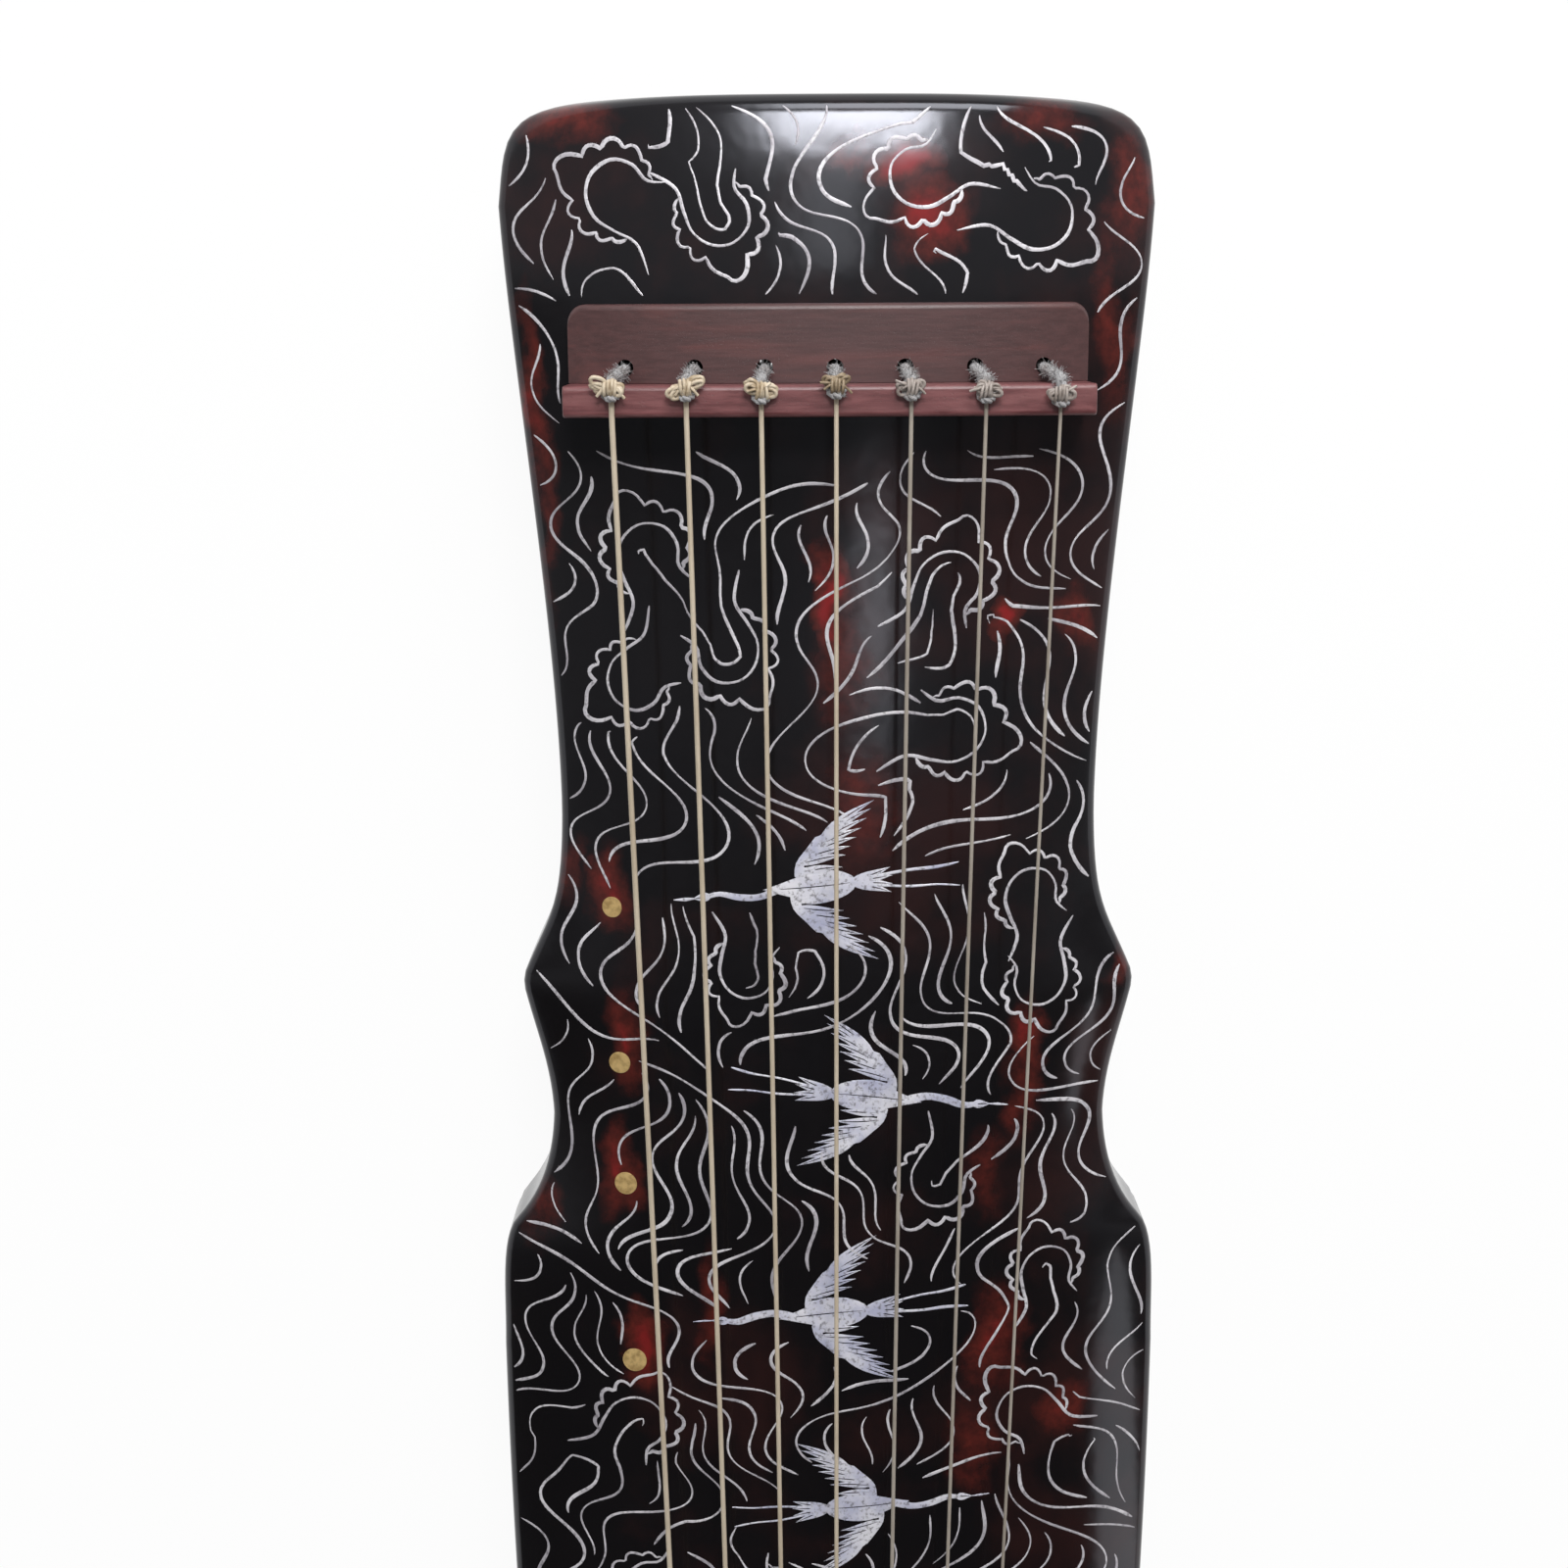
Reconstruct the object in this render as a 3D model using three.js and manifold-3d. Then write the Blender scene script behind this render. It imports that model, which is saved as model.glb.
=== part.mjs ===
// A seven-string long zither: an arched soundboard on a flat bottom board, on two guards and two feet.
// Millimetres. +X points to the head, +Y to the side with the studs, +Z up from the surface it stands on.
import * as THREE from "three";
import { mergeVertices } from "three/addons/utils/BufferGeometryUtils.js";
import Module from "manifold-3d";

const wasm = await Module();
wasm.setup();

// Clearances and overruns that all the pieces share
const fitGap = 0.3;
const restGap = 0.3;
const overrun = 1;
const weld = 1e-3;

// Body lengths: the bridge's inner edge is the place that the others are counted from
const speakingLength = 1140;
const headOverhang = 86;
const tailOverhang = 18;
const bodyWidth = 202;
const tailCornerRadius = 18;

// Outline turning points from the head to the tail: a place and a half width. A place is a share of the
// head overhang before the bridge and of the speaking length after it, a width is a share of half the body's.
const headTurnShares = [[-1, 0.446], [-0.663, 0.914]];
const bodyTurnShares = [
  [0.101, 0.777],
  [0.1465, 0.906],
  [0.1496, 0.906],
  [0.1842, 0.826],
  [0.2158, 0.9565],
  [0.2518, 1],
  [0.6, 0.83],
  [0.702, 0.723],
  [0.8, 0.782],
];
const tailWidthShare = 0.718;
// The two curve handles of each stretch, along and across it, and the steps that the stretch takes
const stretchShares = [
  [0.01, 1, 0.22, 0.95],
  [0.3, 0.26, 0.7, 0.99],
  [0.61, 0.05, 0.61, 0.36],
  [0.33, 0.33, 0.67, 0.67],
  [0.34, 0.37, 0.61, 0.94],
  [0.46, 0.06, 0.76, 0.42],
  [0.2, 1.19, 0.61, 0.85],
  [0.33, 0, 0.7, 0.62],
  [0.25, 0.5, 0.6, 1],
  [0.4, 0, 0.75, 0.5],
  [0.33, 0.33, 0.67, 0.67],
  [0.552, 0, 1, 0.448],
];
const stretchSteps = [8, 6, 5, 1, 5, 5, 4, 7, 6, 6, 5, 5];

// Heights of the body: the surface it stands on is at zero
const footHeight = 30;
const bottomThickness = 10;
const boardHeight = 40;
const archRise = 22;
const tailArchRise = 16;
const tailFall = 6.3;
const foreheadDrop = 7;
const headRoll = 9;
const tailRoll = 4;
const archShare = 0.6;
const edgePower = 6;
// Columns across half of the arch, from the middle to the edge
const archColumnShares = [0, 0.2, 0.4, 0.58, 0.72, 0.83, 0.91, 0.96, 1];

// Hollow of the soundboard, with the blocks that are left standing in it
const boardWall = 14;
const hollowStartShare = 0.053;
const hollowEndShare = 0.943;
const hollowSteps = 26;
const hollowColumnShares = [0, 0.35, 0.65, 0.86, 1];
const bossDepth = 8;
const bossMargin = 9;
const footBlockWidth = 34;
const mortiseDepth = 12;

// Bottom board and its two sound holes with hardwood rims
const bottomInset = 0.5;
const bottomEdgeRound = 3;
const rimWidth = 4;
const longHoleLength = 200;
const longHoleWidth = 26;
const longHoleShare = 0.351;
const shortHoleLength = 100;
const shortHoleWidth = 24;
const shortHoleShare = 0.83;
const holeArcSteps = 5;

// Bridge and the strip in front of it, let into the board
const bridgeThickness = 8.5;
const bridgeRise = 17.5;
const crestFall = 2.5;
const crestRound = 1.2;
const bridgeEndInset = 15;
const stripWidth = 19.7;
const stripRise = 4;
const stripCorner = 7;
const grooveDepth = 3;
const barSteps = 16;

// Tail nut, its saddle underneath and the corner inlays beside it
const nutLength = 14;
const nutHalf = 34;
const nutRise = 2.5;
const nutRound = 4;
const nutSeatDepth = 14;
const notchDepth = tailOverhang - nutLength;
const saddleLength = 18;
const saddleRise = 12;
const saddleRound = 4;
const roundSteps = 3;
const cornerLength = 74;
const cornerStripWidth = 13;
const cornerProud = 1.5;
const cornerDepth = 3;
const cornerSteps = 12;
const cornerColumns = 5;
// Where the corner's inner edge turns outwards, as shares of its length from the tail
const cornerTurnShares = [0.34, 0.62];

// Strings: the first is the thickest and lies beside the studs
const stringCount = 7;
const stringEndMargin = 11.7;
const tailSpan = 56.6;
const stringCentre = -1.7;
const firstStringDiameter = 1.6;
const lastStringDiameter = 1;
const stringSides = 6;
const knotHalfLength = 1.8;
const knotHalfWidth = 2.6;
const knotHalfHeight = 1.7;
const knotSides = 8;
const windingTurns = 1.5;
const windingSteps = 20;
const windingGap = 0.5;
const windingSpacing = 0.6;
const farFootStrings = 4;

// Studs: one in the middle, growing from both ends towards it
const headStudShares = [1 / 8, 1 / 6, 1 / 5, 1 / 4, 1 / 3, 2 / 5];
const studShares = [...headStudShares, 1 / 2, ...headStudShares.map((share) => 1 - share).reverse()];
const studOffset = 8.8;
const endStudDiameter = 6.2;
const middleStudDiameter = 10;
const studThickness = 1.5;
const studProud = 0.15;
const studSides = 16;
const slopeStep = 1;

// Tuning pegs, the plate that they bear on and the cords that they twist
const pegSpanShare = 0.956;
const pegInset = 4;
const pegGap = 3.2;
const pegFloorGap = 1.7;
const pegBore = 4;
const pegSides = 14;
// Height above the peg's foot and radius, each as a share of the peg's own
const pegProfileShares = [
  [0, 0.6],
  [0.04, 0.7],
  [0.32, 0.66],
  [0.56, 0.78],
  [0.74, 0.97],
  [0.9, 1],
  [1, 0.93],
];
const plateWidth = 28;
const plateThickness = 6;
const plateMargin = 1.5;
const plateHole = 4.6;
const stripHole = 4.6;
const channelBore = 5;
const holeSides = 12;
const cordDiameter = 2.8;
const cordDepth = 25;
const cordSides = 8;
const loopDiameter = 1.8;
const loopSides = 6;
const loopSteps = 14;
const cordLift = 0.3;

// Guards beside the pegs, and the feet with their sockets
const guardLength = 45;
const guardWidth = 12;
const guardEdge = 4;
const guardCorner = 4;
const footShare = 0.728;
const footSpacing = 76;
const footRadius = 13;
const footNeckRadius = 9.5;
const footFlare = 5;
const footCollar = 2.5;
const footSides = 24;
const tenonWidth = 14;
const socketMargin = 6;

// Sound posts between the two boards
const roundPostDiameter = 18;
const roundPostShare = 0.224;
const squarePostWidth = 18;
const squarePostShare = 0.526;
const postSides = 16;

// Places that follow from the sizes above
const bodyLength = headOverhang + speakingLength + tailOverhang;
const bridgeX = bodyLength / 2 - headOverhang;
const tailEndX = -bodyLength / 2;
const headEndX = bodyLength / 2;
const nutTailX = tailEndX + notchDepth;
const nutInnerX = nutTailX + nutLength;
const seamZ = footHeight + bottomThickness;
const bodyHalf = bodyWidth / 2;
const bridgeHeadX = bridgeX + bridgeThickness;
const stripTailX = bridgeHeadX + fitGap;
const stripHeadX = stripTailX + stripWidth;
const pegX = stripTailX + pegInset;

const lacquer = new THREE.MeshStandardMaterial({ color: 0x1b1311, roughness: 0.25, metalness: 0 });
const darkWood = new THREE.MeshStandardMaterial({ color: 0x4a2b21, roughness: 0.45, metalness: 0 });
const rosyWood = new THREE.MeshStandardMaterial({ color: 0x85574b, roughness: 0.5, metalness: 0 });
const plainWood = new THREE.MeshStandardMaterial({ color: 0xb58f63, roughness: 0.7, metalness: 0 });
const brass = new THREE.MeshStandardMaterial({ color: 0xb58d4e, roughness: 0.3, metalness: 1 });
const silk = new THREE.MeshStandardMaterial({ color: 0xd9cfae, roughness: 0.6, metalness: 0 });
const wool = new THREE.MeshStandardMaterial({ color: 0xbcb9b4, roughness: 0.9, metalness: 0 });

const { lerp, clamp, smoothstep } = THREE.MathUtils;
const point = (x, y, z) => new THREE.Vector3(x, y, z);
const placeOf = (x) => bridgeX - x;
const xAt = (place) => bridgeX - place;

// Turns a closed geometry into a solid that can be joined and cut.
function toSolid(geometry) {
  const bare = new THREE.BufferGeometry();
  bare.setAttribute("position", geometry.getAttribute("position"));
  bare.setIndex(geometry.index);
  const merged = mergeVertices(bare, weld);
  const vertProperties = new Float32Array(merged.attributes.position.array);
  const triVerts = new Uint32Array(merged.index.array);
  return new wasm.Manifold(new wasm.Mesh({ numProp: 3, vertProperties, triVerts }));
}

// Turns a solid back into a geometry with flat-shaded faces.
function toGeometry(solid) {
  const mesh = solid.getMesh();
  const geometry = new THREE.BufferGeometry();
  geometry.setAttribute("position", new THREE.BufferAttribute(new Float32Array(mesh.vertProperties), 3));
  geometry.setIndex(new THREE.BufferAttribute(new Uint32Array(mesh.triVerts), 1));
  const flat = geometry.toNonIndexed();
  flat.computeVertexNormals();
  return flat;
}

function cut(base, tools) {
  return toGeometry(tools.reduce((solid, tool) => solid.subtract(toSolid(tool)), toSolid(base)));
}

function join(base, others) {
  return toGeometry(others.reduce((solid, other) => solid.add(toSolid(other)), toSolid(base)));
}

// A closed solid through rings with equally many points, closed by a flat fan at each end.
function loft(rings) {
  const count = rings[0].length;
  const last = (rings.length - 1) * count;
  const index = [];
  for (let i = 0; i < last; i += count) {
    for (let j = 0; j < count; j++) {
      const next = (j + 1) % count;
      index.push(i + j, i + next, i + count + next, i + j, i + count + next, i + count + j);
    }
  }
  for (let j = 1; j < count - 1; j++) {
    index.push(0, j + 1, j, last, last + j, last + j + 1);
  }
  const geometry = new THREE.BufferGeometry().setFromPoints(rings.flat());
  geometry.setIndex(index);
  geometry.computeVertexNormals();
  return geometry;
}

// A solid along X: at each station a row of points on its top and a row on its bottom.
function slab({ stations, topRow, bottomRow, top, bottom }) {
  const rings = stations.map((x) => [
    ...topRow(x).map((y) => point(x, y, top(x, y))).reverse(),
    ...bottomRow(x).map((y) => point(x, y, bottom(x, y))),
  ]);
  return loft(rings);
}

// A bar across the board: at each step a row of top points from its tail side to its head side.
function crossBar({ half, low, high, top, bottom }) {
  const rings = [];
  for (let i = 0; i <= barSteps; i++) {
    const y = lerp(-half, half, i / barSteps);
    const base = [point(high(y), y, bottom(high(y), y)), point(low(y), y, bottom(low(y), y))];
    rings.push([...base, ...top(y).map(([x, z]) => point(x, y, z))]);
  }
  return loft(rings);
}

function box(xLow, xHigh, yLow, yHigh, zLow, zHigh) {
  const geometry = new THREE.BoxGeometry(xHigh - xLow, yHigh - yLow, zHigh - zLow);
  return geometry.translate((xLow + xHigh) / 2, (yLow + yHigh) / 2, (zLow + zHigh) / 2);
}

// An upright square pillar between two heights, reaching as far along as across.
function squarePillar(x, y, reach, zLow, zHigh) {
  return box(x - reach, x + reach, y - reach, y + reach, zLow, zHigh);
}

// An upright cylinder between two heights, about its own X and Y.
function pillar(radius, zLow, zHigh, sides) {
  const geometry = new THREE.CylinderGeometry(radius, radius, zHigh - zLow, sides);
  return geometry.rotateX(Math.PI / 2).translate(0, 0, (zLow + zHigh) / 2);
}

// A turned solid about Z from rows of height and radius, bored through or solid to its axis.
function turned(rows, bore, sides) {
  const outer = rows.map(([z, radius]) => new THREE.Vector2(radius, z));
  const first = new THREE.Vector2(bore, outer[0].y);
  const end = new THREE.Vector2(bore, outer.at(-1).y);
  const profile = bore > 0 ? [first, ...outer, end, first.clone()] : [first, ...outer, end];
  return new THREE.LatheGeometry(profile, sides).rotateX(Math.PI / 2);
}

// A tube of flat sides through points, its rings turned as little as the way allows.
function tubeThrough(points, radius, sides) {
  const tangents = points.map((here, i) => {
    const before = points[Math.max(i - 1, 0)];
    const after = points[Math.min(i + 1, points.length - 1)];
    return after.clone().sub(before).normalize();
  });
  const normal = point(0, 1, 0).cross(tangents[0]).normalize();
  const rings = points.map((centre, i) => {
    normal.addScaledVector(tangents[i], -normal.dot(tangents[i])).normalize();
    const binormal = tangents[i].clone().cross(normal);
    return Array.from({ length: sides }, (_, k) => {
      const angle = (k / sides) * 2 * Math.PI;
      return centre
        .clone()
        .addScaledVector(normal, Math.cos(angle) * radius)
        .addScaledVector(binormal, Math.sin(angle) * radius);
    });
  });
  return loft(rings);
}

// Outline: pairs of a place and a half width, from the head to the tail.
function makeOutline() {
  const tailHalf = tailWidthShare * bodyHalf;
  const lastPlace = speakingLength + tailOverhang;
  const turns = [
    ...headTurnShares.map(([place, width]) => [place * headOverhang, width * bodyHalf]),
    ...bodyTurnShares.map(([place, width]) => [place * speakingLength, width * bodyHalf]),
    [lastPlace - tailCornerRadius, tailHalf],
    [lastPlace, tailHalf - tailCornerRadius],
  ].map(([place, half]) => new THREE.Vector2(place, half));
  const points = [turns[0]];
  stretchShares.forEach(([along1, across1, along2, across2], i) => {
    const [from, to] = [turns[i], turns[i + 1]];
    const handle = (along, across) =>
      new THREE.Vector2(lerp(from.x, to.x, along), lerp(from.y, to.y, across));
    const curve = new THREE.CubicBezierCurve(from, handle(along1, across1), handle(along2, across2), to);
    points.push(...curve.getPoints(stretchSteps[i]).slice(1));
  });
  return points;
}

const outline = makeOutline();

function halfWidthAt(x) {
  const place = clamp(placeOf(x), outline[0].x, outline.at(-1).x);
  const next = Math.max(1, outline.findIndex((turn) => turn.x >= place));
  const [from, to] = [outline[next - 1], outline[next]];
  return lerp(from.y, to.y, (place - from.x) / (to.x - from.x));
}

// How far a rounded end edge lies below its full height, at a distance from the end.
function rollDrop(distance, radius) {
  const short = clamp(radius - distance, 0, radius);
  return radius - Math.sqrt(radius * radius - short * short);
}

// Height of the board's top: highest in the middle, falling to both long edges, the forehead and the tail.
function boardTop(x, y) {
  const place = placeOf(x);
  const along = clamp(place / (speakingLength + tailOverhang), 0, 1);
  const beyond = clamp((x - stripHeadX) / (headEndX - stripHeadX), 0, 1);
  const spread = y / bodyHalf;
  const toEdge = Math.min(Math.abs(y) / halfWidthAt(x), 1);
  const arch = archShare * spread * spread + (1 - archShare) * toEdge ** edgePower;
  const crown = seamZ + boardHeight - tailFall * along * along - foreheadDrop * beyond * beyond;
  const ends = rollDrop(headEndX - x, headRoll) + rollDrop(x - tailEndX, tailRoll);
  return crown - lerp(archRise, tailArchRise, along) * arch - ends;
}

const stations = outline.map((turn) => xAt(turn.x)).reverse();
const seam = () => seamZ;

// The board's solid shape, before its hollow and seats are cut.
function boardBlank() {
  const sides = [...archColumnShares.slice(1).map((share) => -share).reverse(), ...archColumnShares];
  return slab({
    stations,
    topRow: (x) => sides.map((share) => share * halfWidthAt(x)),
    bottomRow: (x) => [-halfWidthAt(x), halfWidthAt(x)],
    top: boardTop,
    bottom: seam,
  });
}

const longHoleX = xAt(longHoleShare * speakingLength);
const shortHoleX = xAt(shortHoleShare * speakingLength);
const footX = xAt(footShare * speakingLength);
const footY = footSpacing / 2;

// The hollow under the arch, open below, without the blocks over the sound holes and round the feet.
function hollow() {
  const half = (x) => Math.min(...[-boardWall, 0, boardWall].map((d) => halfWidthAt(x + d))) - boardWall;
  const sides = [...hollowColumnShares.slice(1).map((share) => -share).reverse(), ...hollowColumnShares];
  const start = xAt(hollowEndShare * speakingLength);
  const end = xAt(hollowStartShare * speakingLength);
  const blank = slab({
    stations: Array.from({ length: hollowSteps + 1 }, (_, i) => lerp(start, end, i / hollowSteps)),
    topRow: (x) => sides.map((share) => share * half(x)),
    bottomRow: (x) => [-half(x), half(x)],
    top: (x, y) => boardTop(x, y) - boardWall,
    bottom: () => seamZ - overrun,
  });
  const boss = (x, length, width) => {
    const [reach, side] = [length / 2 + bossMargin, width / 2 + bossMargin];
    const low = boardTop(x, 0) - boardWall - bossDepth;
    return box(x - reach, x + reach, -side, side, low, low + boardHeight);
  };
  const block = (y) => squarePillar(footX, y, footBlockWidth / 2, seamZ - boardHeight, seamZ + boardHeight);
  return cut(blank, [
    boss(longHoleX, longHoleLength, longHoleWidth),
    boss(shortHoleX, shortHoleLength, shortHoleWidth),
    block(footY),
    block(-footY),
  ]);
}

// Strings: numbered from the studs to the player, spread from one side to the other round a middle.
const numbers = Array.from({ length: stringCount }, (_, i) => i + 1);
const stringSide = (number) => 1 - (2 * (number - 1)) / (stringCount - 1);
const bridgeHalf = halfWidthAt(bridgeX) - bridgeEndInset;
const bridgeSpan = 2 * (bridgeHalf - stringEndMargin);
const stringRadius = (number) =>
  lerp(firstStringDiameter, lastStringDiameter, (number - 1) / (stringCount - 1)) / 2;

function stringY(number, place) {
  const span = lerp(bridgeSpan, tailSpan, place / speakingLength);
  return stringCentre + (stringSide(number) * span) / 2;
}

// Pegs stand in a row a little narrower than the strings at the bridge.
const pegSpan = bridgeSpan * pegSpanShare;
const pegY = (number) => stringCentre + (stringSide(number) * pegSpan) / 2;

// Bridge: a bar with a gently arched crest, let into a groove that follows the board.
const crestZ = (y) => seamZ + boardHeight + bridgeRise - crestFall * (y / bridgeHalf) ** 2;

function bridge() {
  return crossBar({
    half: bridgeHalf,
    low: () => bridgeX,
    high: () => bridgeHeadX,
    bottom: (x, y) => boardTop(x, y) - grooveDepth,
    top: (y) => [
      [bridgeX, crestZ(y) - crestRound],
      [bridgeX + crestRound, crestZ(y)],
      [bridgeHeadX - crestRound, crestZ(y)],
      [bridgeHeadX, crestZ(y) - crestRound],
    ],
  });
}

// Strip in front of the bridge, with its two head-side corners cut off and a row of cord holes.
const stripCut = (y, corner) => Math.max(0, Math.abs(y) - bridgeHalf + corner);

function strip() {
  const high = (y) => stripHeadX - stripCut(y, stripCorner);
  const blank = crossBar({
    half: bridgeHalf,
    low: () => stripTailX,
    high,
    bottom: (x, y) => boardTop(x, y) - grooveDepth,
    top: (y) => [
      [stripTailX, boardTop(stripTailX, y) + stripRise],
      [high(y), boardTop(high(y), y) + stripRise],
    ],
  });
  const hole = (y) => pillar(stripHole / 2, seamZ, seamZ + 2 * boardHeight, holeSides).translate(pegX, y, 0);
  return cut(blank, numbers.map((number) => hole(pegY(number))));
}

// The groove that takes the bridge and the strip.
function bridgeGroove() {
  const high = (y) => stripHeadX + fitGap - stripCut(y, stripCorner);
  const roof = seamZ + 2 * boardHeight;
  return crossBar({
    half: bridgeHalf + fitGap,
    low: () => bridgeX - fitGap,
    high,
    bottom: (x, y) => boardTop(x, y) - grooveDepth - fitGap,
    top: (y) => [
      [bridgeX - fitGap, roof],
      [high(y), roof],
    ],
  });
}

// Tail nut: its top follows the arch and its tail edge is rounded for the strings.
const nutTop = (y) => boardTop(nutInnerX, y) + nutRise;
const nutSeatZ = boardTop(nutInnerX, 0) - nutSeatDepth;

function quarterRound(centreX, centreZ, radius, fromAngle, steps) {
  return Array.from({ length: steps + 1 }, (_, i) => {
    const angle = fromAngle + (i / steps) * (Math.PI / 2);
    return [centreX + Math.cos(angle) * radius, centreZ + Math.sin(angle) * radius];
  });
}

function tailNut() {
  return crossBar({
    half: nutHalf,
    low: () => nutTailX,
    high: () => nutInnerX,
    bottom: () => nutSeatZ,
    top: (y) => [
      ...quarterRound(nutTailX + nutRound, nutTop(y) - nutRound, nutRound, Math.PI / 2, roundSteps).reverse(),
      [nutInnerX, nutTop(y)],
    ],
  });
}

// Saddle: a block in the underside of the tail, rounded where the strings turn under it.
const saddleTopZ = seamZ + saddleRise;

function saddle() {
  const profile = [
    ...quarterRound(nutTailX + saddleRound, footHeight + saddleRound, saddleRound, Math.PI, roundSteps),
    [nutTailX + saddleLength, footHeight],
    [nutTailX + saddleLength, saddleTopZ],
    [nutTailX, saddleTopZ],
  ];
  const shape = new THREE.Shape(profile.map(([x, z]) => new THREE.Vector2(x, z)));
  const geometry = new THREE.ExtrudeGeometry(shape, { depth: 2 * nutHalf, bevelEnabled: false });
  return geometry.translate(0, 0, -nutHalf).rotateX(Math.PI / 2);
}

// Corner inlay beside the nut: broad at the tail, then a narrow strip along the edge.
const cornerHeadX = tailEndX + cornerLength;

function cornerPlate(side, grow) {
  const inner = (x) => {
    const share = (x - tailEndX) / cornerLength;
    const turn = smoothstep(share, cornerTurnShares[0], cornerTurnShares[1]);
    return lerp(nutHalf + 2 * fitGap, halfWidthAt(x) - cornerStripWidth, turn);
  };
  const shares = Array.from({ length: cornerColumns + 1 }, (_, i) => i / cornerColumns);
  const row = (x) => {
    const inside = shares.map((share) => lerp(inner(x), halfWidthAt(x), share));
    const all = grow > 0 ? [inner(x) - grow, ...inside, halfWidthAt(x) + overrun] : inside;
    return side > 0 ? all : all.map((y) => -y).reverse();
  };
  const evenly = Array.from({ length: cornerSteps + 1 }, (_, i) =>
    lerp(tailEndX, cornerHeadX, i / cornerSteps) + (i === cornerSteps ? grow : 0),
  );
  const ends = stations.filter((x) => x > tailEndX && x < tailEndX + tailCornerRadius);
  const places = [...evenly.filter((x) => x === tailEndX || x > tailEndX + tailCornerRadius), ...ends];
  const lift = grow > 0 ? boardHeight : cornerProud;
  return slab({
    stations: places.sort((a, b) => a - b),
    topRow: row,
    bottomRow: row,
    top: (x, y) => boardTop(x, y) + lift,
    bottom: (x, y) => boardTop(x, y) - cornerDepth - grow,
  });
}

// Studs: small discs set square to the board's surface beside the first string.
function boardNormal(x, y) {
  const alongX = boardTop(x + slopeStep, y) - boardTop(x - slopeStep, y);
  const alongY = boardTop(x, y + slopeStep) - boardTop(x, y - slopeStep);
  return point(-alongX, -alongY, 2 * slopeStep).normalize();
}

const studs = studShares.map((share) => {
  const x = xAt(share * speakingLength);
  const y = stringY(1, share * speakingLength) + studOffset;
  const nearness = 1 - Math.abs(share - 1 / 2) / (studShares.at(-1) - 1 / 2);
  return {
    at: point(x, y, boardTop(x, y)),
    turn: new THREE.Quaternion().setFromUnitVectors(point(0, 0, 1), boardNormal(x, y)),
    radius: lerp(endStudDiameter, middleStudDiameter, nearness) / 2,
  };
});

const studSolid = (stud) => pillar(stud.radius, studProud - studThickness, studProud, studSides);

function studRecess(stud) {
  const tool = pillar(stud.radius + fitGap, -studThickness - fitGap, studThickness, studSides);
  return tool.applyQuaternion(stud.turn).translate(stud.at.x, stud.at.y, stud.at.z);
}

// Peg plate: a bored plate let into the soundboard over the window for the pegs.
const pegRadius = (pegSpan / (stringCount - 1) - pegGap) / 2;
const plateHalf = pegSpan / 2 + pegRadius + plateMargin;

function platePocket(grow, zLow, zHigh) {
  const [side, reach] = [plateHalf + grow, plateWidth / 2 + grow];
  return box(pegX - reach, pegX + reach, stringCentre - side, stringCentre + side, zLow, zHigh);
}

function pegHoles(diameter, zLow, zHigh) {
  const hole = () => pillar(diameter / 2, zLow, zHigh, holeSides);
  return numbers.map((number) => hole().translate(pegX, pegY(number), 0));
}

function pegPlate() {
  const blank = platePocket(0, seamZ, seamZ + plateThickness);
  return cut(blank, pegHoles(plateHole, footHeight, seamZ + boardHeight));
}

// A cut into the tail end, as wide as the nut and the saddle.
function tailTool(xHigh, zLow, zHigh) {
  const side = nutHalf + fitGap;
  return box(tailEndX - overrun, xHigh, -side, side, zLow, zHigh);
}

// Soundboard: the arched blank with its hollow, grooves, seats and bores.
function soundboard() {
  const roof = seamZ + 2 * boardHeight;
  const mortise = (y) =>
    squarePillar(footX, y, tenonWidth / 2 + fitGap, seamZ - overrun, seamZ + mortiseDepth);
  return cut(boardBlank(), [
    hollow(),
    bridgeGroove(),
    platePocket(fitGap, seamZ - overrun, seamZ + plateThickness),
    ...pegHoles(channelBore, seamZ, seamZ + 2 * boardHeight),
    tailTool(nutTailX, seamZ - overrun, roof),
    tailTool(nutInnerX + fitGap, nutSeatZ, roof),
    tailTool(nutTailX + saddleLength + fitGap, seamZ - overrun, saddleTopZ),
    cornerPlate(1, fitGap),
    cornerPlate(-1, fitGap),
    mortise(footY),
    mortise(-footY),
    ...studs.map(studRecess),
  ]);
}

// Sound hole outline: straight sides with half-round ends, on a centre.
function roundedSlot(length, width) {
  const radius = width / 2;
  const reach = length / 2 - radius;
  const shape = new THREE.Shape();
  shape.absarc(reach, 0, radius, -Math.PI / 2, Math.PI / 2, false);
  shape.absarc(-reach, 0, radius, Math.PI / 2, (3 * Math.PI) / 2, false);
  return shape;
}

function slotTool(x, length, width) {
  const options = { depth: bottomThickness + 2 * overrun, bevelEnabled: false, curveSegments: holeArcSteps };
  return new THREE.ExtrudeGeometry(roundedSlot(length, width), options).translate(x, 0, footHeight - overrun);
}

function rim(length, width) {
  const shape = roundedSlot(length + 2 * rimWidth, width + 2 * rimWidth);
  shape.holes.push(roundedSlot(length, width));
  const options = { depth: bottomThickness, bevelEnabled: false, curveSegments: holeArcSteps };
  return new THREE.ExtrudeGeometry(shape, options);
}

// Bottom board: a flat board with eased lower edges, sound holes, the peg window and the sockets' holes.
const socketHalf = tenonWidth / 2 + socketMargin;
const guardOuterY = halfWidthAt(pegX - guardLength / 2) - bottomInset - bottomEdgeRound - fitGap;
const guardY = guardOuterY - guardWidth / 2;

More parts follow.
